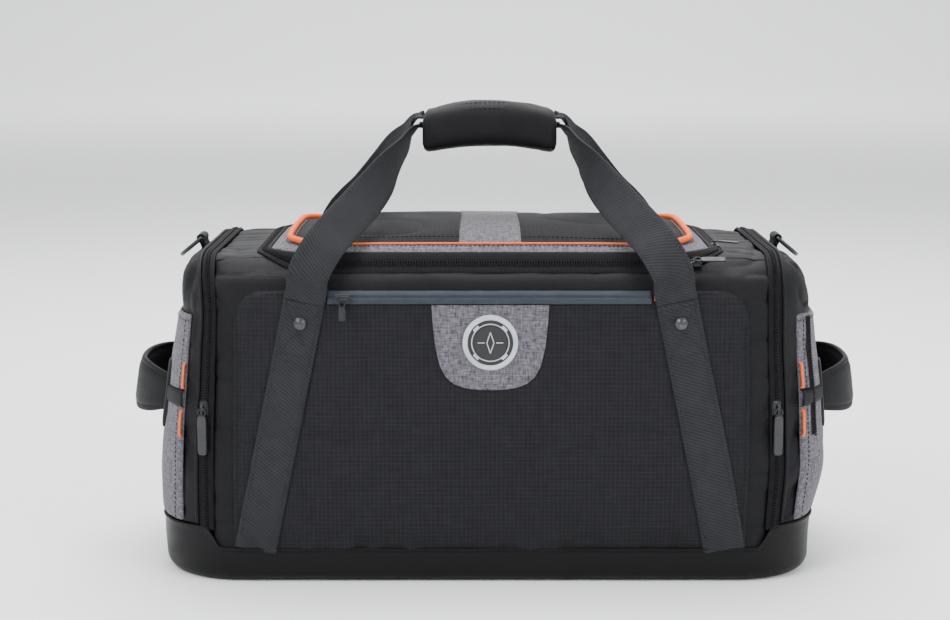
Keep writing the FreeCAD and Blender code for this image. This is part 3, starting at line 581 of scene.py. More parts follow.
def twill_webbing(name, dark, light):
    """Nylon webbing in a 2/2 twill: slanting ribs 2.8 mm apart that catch the light, and a
    finer cross rib between them."""
    material, tree, shader, cloth = start_finish(
        name, 0.6, Specular_IOR_Level=0.12)
    slant = add(tree, "ShaderNodeMapping", {"Vector": cloth, "Rotation": (0, 0, math.radians(28))})
    twill = ribs(tree, slant.outputs[0], 2.8, "Y")
    cross = ribs(tree, cloth, 1.5, "X")
    share = work_out(tree, "ADD", work_out(tree, "MULTIPLY", twill, 0.5), work_out(
        tree, "ADD", work_out(tree, "MULTIPLY", cross, 0.15),
        work_out(tree, "MULTIPLY", speckle(tree, cloth, 14), 0.4)))
    coloured(tree, shader, share, dark, light)
    embossed(tree, shader, work_out(tree, "ADD", twill, work_out(tree, "MULTIPLY", cross, 0.4)), 0.4)
    return material


def knitted_tape(name, dark, light):
    """Warp-knitted zip tape: fine lengthwise wales 1.6 mm apart. The water-resistant one has a thin film
    on it but the same roughness here; its paler blue-grey colours are partly the tape's own tone and
    partly a painted highlight for the light that the film catches."""
    material, tree, shader, cloth = start_finish(name, 0.7, Specular_IOR_Level=0.12)
    wales = work_out(tree, "MULTIPLY", ribs(tree, cloth, 1.6, "X"), ribs(tree, cloth, 1.8, "Y"))
    share = work_out(tree, "ADD", work_out(tree, "MULTIPLY", wales, 0.5),
                     work_out(tree, "MULTIPLY", speckle(tree, cloth, 12), 0.5))
    coloured(tree, shader, share, dark, light)
    embossed(tree, shader, wales, 0.25)
    return material


def corded_piping(name, dark, light):
    """Piping: a bias strip of dyed grosgrain over a cord, with close ribs round it 1.4 mm apart."""
    material, tree, shader, cloth = start_finish(
        name, 0.6, Specular_IOR_Level=0.15)
    grosgrain = ribs(tree, cloth, 1.4, "Y")
    share = work_out(tree, "ADD", work_out(tree, "MULTIPLY", grosgrain, 0.4),
                     work_out(tree, "MULTIPLY", speckle(tree, cloth, 8), 0.6))
    coloured(tree, shader, share, dark, light)
    embossed(tree, shader, grosgrain, 0.3)
    return material


def moulded_rubber(name, dark, light):
    """Soft PVC, moulded: smooth and matt, with the fine spark-eroded grain of its mould."""
    material, tree, shader, _ = start_finish(name, 0.5, Specular_IOR_Level=0.5)
    place = add(tree, "ShaderNodeTexCoord").outputs["Object"]
    grain = speckle(tree, place, 0.8)
    coloured(tree, shader, speckle(tree, place, 15), dark, light)
    embossed(tree, shader, grain, 0.08)
    return material


def painted_metal(name, dark, light):
    """Die-cast zinc with black lacquer: satin, a little orange peel, and paler where the
    lacquer has thinned."""
    material, tree, shader, _ = start_finish(name, 0.32, Metallic=0.75)
    place = add(tree, "ShaderNodeTexCoord").outputs["Object"]
    coloured(tree, shader, speckle(tree, place, 6), dark, light)
    embossed(tree, shader, speckle(tree, place, 1.5), 0.05)
    return material


def pressed_board(name, dark, light):
    """Extruded polyethylene board or foam: matt, with a slight grain and darker pores."""
    material, tree, shader, _ = start_finish(name, 0.75)
    place = add(tree, "ShaderNodeTexCoord").outputs["Object"]
    grain = speckle(tree, place, 2.0, (1, 0.2, 1))
    coloured(tree, shader, grain, dark, light)
    embossed(tree, shader, grain, 0.15)
    return material


# Each slot of the record with its maker and its dark and light colours.
FINISHES = {
    "boot_coated": (coated_polyester, "#070708", "#0d0d0e"),
    "board": (pressed_board, "#232427", "#303135"),
    "ripstop": (ripstop_nylon, "#121214", "#29292d"),
    "nylon_black": (oxford_nylon, "#0c0c0e", "#1c1c1f"),
    "zip_tape_black": (knitted_tape, "#0b0b0c", "#1b1b1e"),
    # The blue tape's paler colours are partly its own blue-grey and partly a painted highlight for the
    # light on its film.
    "zip_tape_blue": (knitted_tape, "#262a30", "#3e444c"),
    "heather": (heather_polyester, "#2d2c32", "#77747c"),
    "piping_orange": (corded_piping, "#e4521a", "#f47434"),
    "lining": (oxford_nylon, "#5f6369", "#7c8087"),
    "foam": (pressed_board, "#2e2f31", "#3f4043"),
    "webbing": (twill_webbing, "#121315", "#2e2f32"),
    "stud_metal": (painted_metal, "#2a2b2d", "#5a5c60"),
    "ring_metal": (painted_metal, "#222326", "#3c3e42"),
    "slider_metal": (painted_metal, "#1a1b1d", "#3a3b3f"),
    "pull_rubber": (moulded_rubber, "#141416", "#232326"),
    "badge_pale": (moulded_rubber, "#8d949c", "#c3c8cd"),
    "badge_black": (moulded_rubber, "#0c0c0e", "#17171a"),
}


def finish(slot):
    """The material of a slot, made the first time that a piece asks for it."""
    maker, dark, light = FINISHES[slot]
    name = f"{maker.__name__}_{slot}"
    if name not in bpy.data.materials:
        colours = bpy.context.scene.bag_colours
        dark = tuple(getattr(colours, slot)) if hasattr(colours, slot) else linear(dark)
        maker(name, dark, linear(light))
    return bpy.data.materials[name]


# ---------------------------------------------------------------- sizes and colours


def length(name, description, value):
    """A size property, in metres, whose default is given in millimetres."""
    return FloatProperty(name=name, description=description, default=value * MM,
                         unit="LENGTH", subtype="DISTANCE")


def shade(name, description, value):
    return FloatVectorProperty(name=name, description=description, default=linear(value),
                               subtype="COLOR", min=0, max=1)


class BagSizes(bpy.types.PropertyGroup):
    """Sizes of the sewn and fitted parts."""
    webbing: length("Webbing width", "Width of the carrying straps", 38)
    webbing_thick: length("Webbing thickness", "Thickness of the carrying straps", 2.2)
    pocket_proud: length("Pocket depth", "How far the front pocket stands off the wall", 5)
    piping: length("Piping radius", "Radius of the orange piping on the lid", 2.2)
    end_piping: length("End piping radius", "Radius of the orange piping on the ends", 1.3)
    coil: length("Coil pitch", "Distance between neighbouring zip coils", 2.4)
    stitch: length("Stitch pitch", "Distance between neighbouring stitches", 4.2)
    grip_thick: length("Grip padding", "Thickness of the padded end handles", 9)
    boot_rib: length("Boot edge", "Radius of the rib along the top of the boot", 1.5)
    floor: length("Floor size", "Radius of the flat part of the floor", 10000)


class BagColours(bpy.types.PropertyGroup):
    """Darker colours of the main cloths."""
    ripstop: shade("Ripstop", "Ground colour of the pocket and lid cloth", "#121214")
    nylon_black: shade("Nylon", "Ground colour of the body cloth", "#0c0c0e")
    boot_coated: shade("Boot", "Colour of the coated base cloth", "#070708")
    heather: shade("Heather", "Dark yarn of the heather cloth", "#2d2c32")
    piping_orange: shade("Piping", "Colour of the piping", "#e4521a")
    webbing: shade("Webbing", "Ground colour of the webbing", "#121315")
    backdrop: shade("Backdrop", "Colour of the floor and backdrop", "#f4f5f6")


def sizes():
    """The size properties in millimetres."""
    group = bpy.context.scene.bag_sizes
    return {name: getattr(group, name) / MM for name in BagSizes.__annotations__}


# ---------------------------------------------------------------- boot and walls


def boot_line(x):
    """Height of the boot's top edge: low on the front, a step higher round the ends."""
    return BOOT_TOP + (BOOT_END_TOP - BOOT_TOP) * smooth((np.abs(x) - 246) / 16)


def boot():
    """Rings of the plan outline: shrunk to nothing under the base, round the foot's arc, up the
    wall, and over a round rib that binds the top edge."""
    rib, proud = sizes()["boot_rib"], 0.8
    loop = rounded_loop(HALF_LENGTH, HALF_DEPTH, CORNER, 460)
    ahead = headings(np.pad(loop, ((0, 0), (0, 1))))
    out = np.stack([ahead[:, 1], -ahead[:, 0]], axis=-1)
    top = boot_line(loop[:, 0]) - rib
    low = loop - out * FOOT
    rows = [np.column_stack([low * share, 0 * top]) for share in np.linspace(0.01, 1, 9)]
    for angle in np.linspace(0, math.pi / 2, 7)[1:]:
        reach = proud - FOOT + FOOT * math.sin(angle)
        rows.append(np.column_stack([loop + out * reach, 0 * top + FOOT * (1 - math.cos(angle))]))
    for share in np.linspace(0.1, 1, 9):
        rows.append(np.column_stack([loop + out * proud, FOOT + (top - rib - FOOT) * share]))
    for angle in np.linspace(-math.pi / 2, math.pi * 0.9, 9):
        rows.append(np.column_stack([loop + out * (proud + rib * math.cos(angle)),
                                     top + rib * math.sin(angle)]))
    rows.append(np.column_stack([loop - out * 2, top - rib]))
    points = np.stack(rows)
    ripple = 0.7 * noise(points, 30, 21) * smooth(points[..., 2] / 8)
    points[..., :2] += out * ripple[..., None]
    return patch(points)


def wall_wrinkles(points, strength=1.0):
    """Inward-only folds, so that nothing sewn on top is ever pierced: broad ones slanting down
    from the shoulder, and short ones by the corner seams."""
    corner = smooth((np.abs(points[..., 0]) - 205) / 40)
    broad = creases(points, 38, (1, 1, 0.45), 11)
    short = creases(points, 20, (0.6, 1, 1.3), 12)
    return -strength * (0.4 + 1.5 * corner) * (1.7 * broad + 1.0 * short)


def wall_panel(rear):
    """Front or rear wall: the section's height against the length, folded inward a little."""
    x = np.linspace(-SEAM_X - 0.5, SEAM_X + 0.5, 230)[None, :]
    top = WALL_TOP + SHOULDER * math.acos(1 - (HALF_DEPTH - ZIP_HALF[1]) / SHOULDER)
    way = np.linspace(BOOT_TOP - 4, top + 2, 120)[:, None]
    points = skin(x, GIRTH - way if rear else way)
    puff = 2.2 * np.exp(-((way - way_up(280)) / 8) ** 2) * (1 + 0.4 * noise(points, 40, 5))
    points = lifted(points, wall_wrinkles(points) + (0 if rear else puff))
    return patch(points, uv=np.stack(np.broadcast_arrays(x, way), axis=-1), inside=(0, 0, 150))


def deck(side):
    """The top beyond the lid's zip: the form's height over a grid in plan, whose inner vertices
    are drawn onto the zip's outline."""
    x, y = np.meshgrid(side * np.linspace(150, SEAM_X + 0.5, 60),
                       np.linspace(-ZIP_HALF[1] - 1, ZIP_HALF[1] + 1, 120))
    hole = (ZIP_HALF[0] - 3, ZIP_HALF[1] - 3, 50)
    depth = plan_distance(x, y, *hole)
    quads = ~((depth[:-1, :-1] < 0) & (depth[:-1, 1:] < 0) & (depth[1:, 1:] < 0) & (depth[1:, :-1] < 0))
    slope_x = plan_distance(x + 0.1, y, *hole) - plan_distance(x - 0.1, y, *hole)
    slope_y = plan_distance(x, y + 0.1, *hole) - plan_distance(x, y - 0.1, *hole)
    steep = np.maximum(np.hypot(slope_x, slope_y), 1e-6)
    inside = np.minimum(depth, 0)
    x, y = x - inside * slope_x / steep, y - inside * slope_y / steep
    points = np.stack([x, y, deck_height(x, y)], axis=-1)
    points = lifted(points, wall_wrinkles(points, 0.8))
    return patch(points, uv=np.stack([x, y], axis=-1), keep=quads, inside=(0, 0, 100))


# ---------------------------------------------------------------- front pocket and what is sewn on it

POCKET_TOP = float(way_up(POCKET_HIGH[2]))
POCKET_HALF = POCKET_HIGH[0]
POCKET_CORNER = 30.0


def pocket_lift(x, way):
    """How far the pocket stands off the wall: nothing outside its outline, a quick rounded rise
    along its seams, a slow pillow towards the middle, and puckers that fade up from the boot."""
    inset = -plan_distance(x, way - (POCKET_TOP - 200), POCKET_HALF, 200, POCKET_CORNER)
    rise = sizes()["pocket_proud"] * (1 - np.exp(-np.maximum(inset, 0) / 3.5))
    pillow = 2.6 * smooth(inset / 110) * smooth((way - 33) / 90)
    place = np.stack(np.broadcast_arrays(x, 0 * x, way), axis=-1) + np.zeros_like(way)[..., None]
    near = np.exp(-np.maximum(way - 36, 0) / 17) + 0.8 * np.exp(-np.maximum(inset, 0) / 16)
    pucker = 1.7 * near * smooth(inset / 3) * noise(place * (1, 1, 0.3), 12, 31)
    fold = 2.3 * creases(place, 55, (0.8, 1, 0.6), 33) + 0.7 * noise(place, 24, 35)
    tuck = 0.15 + 0.85 * smooth((way - 30) / 26)
    return np.where(inset > 0, (rise + pillow - fold * smooth(inset / 30)) * tuck + pucker, 0)


def on_front(x, way, lift, rear=False):
    """Point above the pocket, or above the plain rear wall."""
    x, way, lift = np.broadcast_arrays(*(np.asarray(v, dtype=float) for v in (x, way, lift)))
    if rear:
        return skin(x, GIRTH - way, lift)
    return skin(x, way, lift + pocket_lift(x, way))


def pocket():
    """The pocket's outline filled by rows whose half width follows its rounded top corners."""
    part = np.linspace(-1, 1, 240)[None, :]
    part = np.sign(part) * (1 - (1 - np.abs(part)) ** 1.35)
    high = np.linspace(0, 1, 150)[:, None]
    way = (BOOT_TOP - 3) + (POCKET_TOP - BOOT_TOP + 3) * (1 - (1 - high) ** 1.25)
    above = np.clip(way - (POCKET_TOP - POCKET_CORNER), 0, POCKET_CORNER)
    half = POCKET_HALF - POCKET_CORNER + np.sqrt(POCKET_CORNER ** 2 - above ** 2)
    x, way = part * half, way + 0 * part
    points = on_front(x, way, -0.4)
    return patch(points, uv=np.stack([x, way], axis=-1), inside=(0, 0, 150))


def sewn_on(x, way, lift, depth, rear=False):
    """A flat thing sewn on: its grid at a lift, with one more row and column all round at the
    same place but lower, so that its edges have height."""
    x, way, lift = np.broadcast_arrays(*(np.asarray(v, dtype=float) for v in (x, way, lift)))
    uv = np.pad(np.stack([x, way], axis=-1), ((1, 1), (1, 1), (0, 0)), mode="edge")
    x, way = np.pad(x, 1, mode="edge"), np.pad(way, 1, mode="edge")
    level = np.pad(lift, 1, mode="edge")
    level[[0, -1], :] -= depth
    level[:, [0, -1]] = np.minimum(level[:, [0, -1]], level[:, [1, -2]] - depth)
    return patch(on_front(x, way, level, rear), uv=uv, inside=(0, 0, 150))


# Height and half width of the heather patch, from its top seam down to its foot.
PATCH_OUTLINE = ((259, 53), (245, 52.3), (224, 50), (212, 47.5), (203, 45), (194, 40), (188, 33),
                 (184.5, 24), (183, 14), (182.6, 3))


def patch_half(way):
    """Half width of the heather patch at a height: straight sides drawing in to a round foot."""
    ways, halves = np.array(PATCH_OUTLINE[::-1]).T
    return np.interp(way, ways, halves)


def heather_patch():
    part = np.linspace(-1, 1, 60)[None, :]
    foot, top = PATCH_OUTLINE[-1][0], PATCH_OUTLINE[0][0]
    way = foot + (top - foot) * np.linspace(0, 1, 60)[:, None] ** 1.4
    return sewn_on(part * patch_half(way), way, 0.9, 1.4)


STRAP_FOOT_X, STRAP_LEAN = 215, 48 / 235


def strap_centre(z, side):
    """The sewn straps lean: their middle line runs from the boot's seam in towards the handle."""
    return side * (STRAP_FOOT_X - STRAP_LEAN * (z - BOOT_TOP))


def on_strap(side, across, z):
    """Where a point of a sewn strap is, from its distance across the webbing and its height."""
    turned_across = np.asarray(across) / math.hypot(1, STRAP_LEAN)
    return strap_centre(z, side) + turned_across, way_up(z + side * turned_across * STRAP_LEAN)


def sewn_strap(side, rear):
    """A flat run of webbing from the boot to the handle, drawn across and up its own line."""
    half = sizes()["webbing"] / 2
    across = np.linspace(-half, half, 15)[None, :]
    high = np.linspace(BOOT_TOP - 2, 268, 120)[:, None]
    x, way = on_strap(side, across, high)
    lift = 1.9 - 0.5 * (np.abs(across) / half) ** 8 + 0 * high
    flat, quads, _ = sewn_on(x, way, lift, 1.6, rear)
    uv = np.stack(np.broadcast_arrays(across, high), axis=-1)
    uv = np.pad(uv, ((1, 1), (1, 1), (0, 0)), mode="edge")
    return flat, quads, uv.reshape(-1, 2)[quads.reshape(-1)] * MM


def strap_stitches(side, rear):
    """Edge rows, a box with top and bottom bars, and its crossed diagonals."""
    half = sizes()["webbing"] / 2 - 3.5
    lines = [((-half, 45), (-half, 262)), ((half, 45), (half, 262)), ((-half, 262), (half, 262)),
             ((-half, 256), (half, 256)), ((-half, 208), (half, 208)), ((-half, 214), (half, 214)),
             ((-half, 214), (half, 256)), ((half, 214), (-half, 256))]
    rows = []
    for (a, low), (b, high) in lines:
        share = np.linspace(0, 1, 60)
        x, way = on_strap(side, a + (b - a) * share, low + (high - low) * share)
        points = on_front(x, way, 2.1, rear)
        rows.append(beads(points, form_normal(points), 3.0, 0.4, sizes()["stitch"]))
    return rows


def sewn_row(x, way, lift):
    """A row of stitches along a line on the front."""
    points = on_front(x, way, lift)
    return beads(points, form_normal(points), 2.8, 0.35, sizes()["stitch"])


def front_studs():
    """Dome studs: a shallow dome on a rolled rim, turned round the wall's outward direction."""
    profile = [(0, 3.4), (2.4, 3.2), (4.2, 2.4), (4.9, 1.2), (5.4, 1.4), (5.7, 0.8), (5.5, -0.6)]
    studs = []
    for side in (-1, 1):
        for rear in (False, True):
            x, way = on_strap(side, 0, np.array(243.0))
            centre = on_front(x, way, 2.2, rear)
            studs.append(turned(centre, form_normal(centre), profile, 28))
    return studs


def zip_strip(low, high, start, end):
    """The pocket's water-resistant zip: two flat rubbered lips that meet in a shallow groove."""
    x = np.linspace(start, end, 140)[None, :]
    part = np.linspace(-1, 1, 13)[:, None]
    way = way_up(low) + (way_up(high) - way_up(low)) * (part + 1) / 2
    lift = 1.5 + 0.8 * np.exp(-((np.abs(part) - 0.35) / 0.25) ** 2) - 1.2 * np.exp(-(part / 0.1) ** 2)
    return sewn_on(x + 0 * part, way + 0 * x, lift + 0 * x, 1.6)


# ---------------------------------------------------------------- badge


def badge_centre():
    """Middle of the badge's front, on the badge's own axis."""
    low, high = box_mm("badge_rim")
    return np.array([0.0, low[1] + 0.6, (low[2] + high[2]) / 2])


def badge_rim():
    """A pale rim: a square-shouldered ring turned round the badge's axis, in a dark outer lip."""
    return [turned(badge_centre(), (0, -1, 0), [(20.6, -3), (20.6, 0.3), (21.2, 0.9), (24.2, 0.9),
                                                (25, 0.1), (25, -3.5)], 96)]


def badge_face():
    """A black face, raised in the middle inside a low lip, turned round the badge's axis."""
    return [turned(badge_centre(), (0, -1, 0), [(0, 0.1), (14.8, 0.1), (15.2, 0.5), (15.9, 0.5),
                                                (16.2, -0.4), (20.8, -0.4), (20.8, -3)], 96)]


def badge_ring():
    """A pale ring with four short tabs on the diagonals, and the lozenge's inlaid outline."""
    centre = badge_centre()
    ring = turned(centre, (0, -1, 0), [(16.4, -0.8), (16.4, -0.1), (17.3, -0.1), (17.3, -0.8)], 96)
    parts = [ring]
    for quarter in range(4):
        angle = math.radians(45 + 90 * quarter)
        out = np.array([math.cos(angle), 0, math.sin(angle)])
        axes = (out, (0, 1, 0), np.cross(out, (0, 1, 0)))
        parts.append(block(centre + out * 18.1 + (0, 0.45, 0), axes, (1.2, 0.45, 3.2), 0.3, 8, 16))
    lozenge = np.array([(0, 9.5), (3.2, 0), (0, -9.5), (-3.2, 0), (0, 9.5)])
    corners = centre + np.column_stack([lozenge[:, 0], np.full(5, -0.25), lozenge[:, 1]])
    for a, b in zip(corners[:-1], corners[1:]):
        parts.append(tube(np.linspace(a, b, 6), 0.45, (0, 1, 0), 8))
    bar = centre + np.array([(-11.5, -0.25, 0), (-5.2, -0.25, 0)])
    for flip in (1, -1):
        path = np.linspace(bar[0], bar[1], 5) * (flip, 1, 1) + centre * (1 - flip, 0, 0)
        parts.append(tube(path, 0.45, (0, 1, 0), 8))
    return parts


# ---------------------------------------------------------------- carrying handles


def handle_stations(facing):
    """Centre, width direction and width of one carrying strap, from its left foot over the grip
    to its right foot: the right half is listed and the left half mirrors it."""
    lift = 9 if facing > 0 else 0
    start_y = HALF_DEPTH + (6 if facing < 0 else 0) + 1.25
    slant = (1, 0, 0.204)
    right = [((168.2, start_y - 1.1, 262), slant, 1), ((165.5, start_y, 273.5), slant, 1),
             ((163, start_y + 4.75, 289), slant, 1), ((151, 145, 311), (1, -0.2, 0.25), 1),
             ((139, 127, 325), (0.9, -0.33, 0.3), 1), ((121, 100, 343), (0.88, -0.4, 0.28), 1),
             ((105, 73, 361 + lift / 2), (0.75, -0.6, 0.3), 0.95),
             ((93, 48, 378 + lift), (0.5, -0.8, 0.35), 0.85),
             ((82, 28, 392 + lift), (0.3, -0.88, 0.3), 0.7),
             ((71, 8, 408 + lift), (0.1, -1, 0.05), 0.6), ((54, 2.5, 410.5 + lift), (0, -1, 0), 0.6)]
    half = [(x, facing * y, z, a, -facing * b, c, wide) for (x, y, z), (a, b, c), wide in right]
    left = [(-x, y, z, -a, b, c, wide) for x, y, z, a, b, c, wide in half]
    return np.array(left + half[::-1])


# A strap's directions and width count this much more than its place when its points are spaced.
STATION_WEIGHT = 5


def strap_line(facing):
    """A smooth line through one strap's stations."""
    weights = (1, 1, 1) + (STATION_WEIGHT,) * 4
    return spline(handle_stations(facing) * weights, 260)


def carrying_strap(facing):
    """Webbing through the stations, as wide as they say."""
    line = strap_line(facing)
    profile = tape_profile(sizes()["webbing"], sizes()["webbing_thick"])
    scale = np.column_stack([line[:, 6] / STATION_WEIGHT, np.ones(len(line))])
    return sweep(line[:, :3], line[:, 3:6], profile, scale)


def strap_edge_stitches(facing):
    """Rows of stitches along both edges of a carrying strap, on both of its faces."""
    line = strap_line(facing)[6:-6]
    ahead = headings(line[:, :3])
    across = unit(line[:, 3:6] - ahead * np.sum(line[:, 3:6] * ahead, axis=-1, keepdims=True))
    up = np.cross(ahead, across)
    inset = sizes()["webbing"] / 2 - 3.5
    rows = []
    for place in (-1, 1):
        for face in (-1, 1):
            edge = line[:, :3] + across * (line[:, 6:] / STATION_WEIGHT) * place * inset
            edge = edge + up * face * sizes()["webbing_thick"] / 2
            rows.append(beads(edge, up, 3.0, 0.35, sizes()["stitch"] + 0.6))
    return rows


def grip_wrap():
    """A padded sleeve with a C section, open to the rear: an outer squared oval and an inner
    slot, carried along x, with both drawn together at the two ends and the middle arched up."""
    low, high = box_mm("handle_wrap")
    centre_y, half_y = (low[1] + high[1]) / 2, (high[1] - low[1]) / 2
    centre_z, half_z = (low[2] + high[2]) / 2, (high[2] - low[2]) / 2
    angle = np.linspace(math.radians(30), math.radians(330), 72)
    power = 0.72
    outer = np.stack([half_y * np.sign(np.cos(angle)) * np.abs(np.cos(angle)) ** power,
                      half_z * np.sign(np.sin(angle)) * np.abs(np.sin(angle)) ** power], axis=-1)
    inner = np.stack([np.clip(outer[:, 0] * 0.86, 7 - half_y, half_y),
                      np.clip(outer[:, 1], -10.5, 10.5)], axis=-1)
    share = np.linspace(-1, 1, 110)
    half_x = high[0]
    close = np.sqrt(np.clip(1 - (np.clip(np.abs(share) - 0.9, 0, 1) / 0.1) ** 2, 0, 1))
    body = 1 - 0.2 * share ** 2
    arch = 1.5 - 9 * share ** 2
    rim = np.concatenate([outer, inner[::-1], outer[:1]])
    core = np.concatenate([inner, inner[::-1], inner[:1]])
    ring = core[None] + (rim - core)[None] * (close * body)[:, None, None]
    x = share[:, None] * half_x + 0 * ring[..., 0]
    z = centre_z + arch[:, None] + ring[..., 1]
    points = np.stack([x, centre_y + ring[..., 0], np.clip(z, low[2] - 5, high[2] + 1)], axis=-1)
    fold = 1.1 * creases(points, 16, (2.2, 1, 1), 42) * np.abs(share[:, None]) ** 3
    dent = 0.7 * noise(points, 22, 41) + fold
    middle = np.array([0, centre_y, centre_z])
    points = points + unit((points - middle) * (0, 1, 1)) * (dent * (close[:, None] > 0.5))[..., None]
    return faced_out(*patch(points))


def wrap_seams():
    """Two rows of stitching along the front of the grip, a hand's breadth of cloth apart."""
    low, high = box_mm("handle_wrap")
    centre_y, half_y = (low[1] + high[1]) / 2, (high[1] - low[1]) / 2
    centre_z, half_z = (low[2] + high[2]) / 2, (high[2] - low[2]) / 2
    share = np.linspace(-0.88, 0.88, 90)
    body, arch = 1 - 0.2 * share ** 2, 1.5 - 9 * share ** 2
    rows = []
    for degrees in (118, 145):
        angle = math.radians(degrees)
        y = half_y * -abs(math.cos(angle)) ** 0.72 * body
        z = half_z * math.sin(angle) ** 0.72 * body
        line = np.stack([share * high[0], centre_y + y, centre_z + arch + z], axis=-1)
        up = unit((line - (0, centre_y, centre_z)) * (0, 1, 1))
        rows.append(beads(line + up * 0.5, up, 3.0, 0.45, sizes()["stitch"]))
    return rows


# ---------------------------------------------------------------- lid and its zip

PIPING_HALF = np.array([186.0, 108.5])
LID_DENTS = 1.3


def lid_height(x, y):
    """The lid's dome: from its edge each direction rises by the same easing curve, and the two
    are multiplied, so that it is highest in the middle."""
    rise = 1
    for value, half in ((np.abs(x), LID_HALF[0] + 2), (np.abs(y), LID_HALF[1] + 1)):
        rise = rise * (1 - np.exp(-np.maximum(half - value, 0) / 27))
    return LID_LOW[2] + 0.6 + (LID_CROWN - LID_LOW[2]) * rise


def lid_loop(share, count=360):
    """A loop on the lid in plan: the edge at 0, the piping at 1, the middle at 2."""
    edge = rounded_loop(LID_HALF[0] - 0.5, LID_HALF[1] - 0.5, 42, count)
    cord = rounded_loop(PIPING_HALF[0], PIPING_HALF[1], 30, count)
    return np.where(share <= 1, edge + (cord - edge) * min(share, 1), cord * max(2 - share, 0))


def lid_dents(points):
    """Broad dents and a few long folds in the lid's cloth, the same over every piece of it."""
    flat = points * (1, 1, 0)
    return noise(flat, 50, 51) - creases(flat, 60, (0.5, 1, 1), 52)


def lid_ring(shares, dents=0.0):
    """The lid's dome as a row for each share of the way in, dented by some millimetres."""
    rows = []
    for share in shares:
        loop = lid_loop(share)
        rows.append(np.column_stack([loop, lid_height(loop[:, 0], loop[:, 1])]))
    points = np.stack(rows)
    points[..., 2] += dents * lid_dents(points)
    return points


def lid_border():
    """The heather frame of the lid, from a turned-down edge in to the piping."""
    top = lid_ring(np.linspace(0, 1.02, 12), 0.2)
    edge = np.stack([top[0] - (0, 0, drop) for drop in (6.0, 4.0, 2.2, 0.9)])
    edge[1:3, :, :2] *= 1.004
    points = np.concatenate([edge, top])
    return patch(points, uv=points[..., :2], inside=(0, 0, 200))


def lid_top():
    """The dark top of the lid, from the piping in to the middle."""
    points = lid_ring(np.linspace(0.98, 2, 70), LID_DENTS)
    return patch(points, uv=points[..., :2], inside=(0, 0, 200))


def lid_stripe():
    """A band of heather across the lid, a little proud, and a little wider at both ends."""
    half = box_mm("lid_stripe")[1][0]
    y = np.linspace(-PIPING_HALF[1] + 1, PIPING_HALF[1] - 1, 90)[:, None]
    x = np.linspace(-1, 1, 20)[None, :] * (half + 1.5 * np.abs(y) / 100)
    x, y = np.broadcast_arrays(x, y)
    x, y = np.pad(x, 1, mode="edge"), np.pad(y, 1, mode="edge")
    points = np.stack([x, y, lid_height(x, y)], axis=-1)
    points[..., 2] += LID_DENTS * lid_dents(points) + 0.9
    points[[0, -1], :, 2] -= 2.2
    points[:, [0, -1], 2] -= 2.2
    return patch(points, uv=points[..., :2], inside=(0, 0, 200))


def lid_piping():
    """The orange cord on the seam, thick round both ends and thin along front and back."""
    loop = lid_loop(1.0, 420)
    points = np.column_stack([loop, lid_height(loop[:, 0], loop[:, 1])])
    points[:, 2] += 1.0 + 2.2 * smooth((np.abs(loop[:, 0]) - 150) / 30)
    thick = 0.42 + 0.95 * smooth((np.abs(loop[:, 0]) - 148) / 26)
    return sweep(points, (0, 0, 1), circle(sizes()["piping"]), np.column_stack([thick, thick]))


def lid_stitches():
    """A row of stitches on the border and one on the top, either side of the piping."""
    rows = []
    for share, lift in ((0.8, 0.2), (1.12, 0.3)):
        loop = lid_loop(share, 420)
        points = np.column_stack([loop, lid_height(loop[:, 0], loop[:, 1]) + lift])
        if share > 1:
            points[:, 2] += LID_DENTS * lid_dents(points)
        rows.append(beads(points, (0, 0, 1), 2.8, 0.4, sizes()["stitch"]))
    return rows


CHAIN_HALF, CHAIN_CORNER = np.array([210.0, 125.5]), 46


def chain_loop(offset):
    """The lid zip's own line in plan, or one beside it."""
    return rounded_loop(CHAIN_HALF[0] + offset, CHAIN_HALF[1] + offset, CHAIN_CORNER + offset, 460)


def zip_tape_ring():
    """The fixed tape: rows from the outer seam in to the mouth, raised into two stitched folds
    on either side of the coils, and turned down at the mouth."""
    rows = []
    for offset, lift in ((7.5, 0.3), (7, 1.4), (5, 2.0), (3.6, 1.2), (2.4, 1.8), (0, 1.6), (-3, 1.2),
                         (-7, 0.6), (-9, 0.4), (-10, -3.0)):
        loop = chain_loop(offset)
        points = np.column_stack([loop, deck_height(loop[:, 0], loop[:, 1])])
        rows.append(lifted(points, np.full(len(points), lift)))
    return patch(np.stack(rows), inside=(0, 0, 150))


def chain_points(offset, lift):
    """A line beside the lid's zip, lifted off the form, and the outward direction along it."""
    loop = chain_loop(offset)
    points = np.column_stack([loop, deck_height(loop[:, 0], loop[:, 1])])
    return lifted(points, np.full(len(points), lift)), form_normal(points)


def three_sides(*lines):
    """The zipped part of lines that run round the lid: all but the hinge side at the back."""
    zipped = lines[0][:-1, 1] < CHAIN_HALF[1] - 14
    first = np.flatnonzero(zipped & ~np.roll(zipped, 1))[0]
    return [np.roll(line[:-1], -first, axis=0)[:zipped.sum()] for line in lines]


def fixed_coils():
    """The coils on the bag's half of the lid zip, and a row of stitches by its outer seam."""
    points, up = three_sides(*chain_points(0.9, 2.5))
    return [beads(points, up, 4.2, 0.95, sizes()["coil"], along=False),
            beads(*chain_points(5.2, 2.3), 2.6, 0.35, sizes()["stitch"])]


def lid_coils():
    """The coils on the lid's half of its zip."""
    points, up = three_sides(*chain_points(-1.2, 2.9))
    return [beads(points, up, 3.6, 0.95, sizes()["coil"], along=False)]


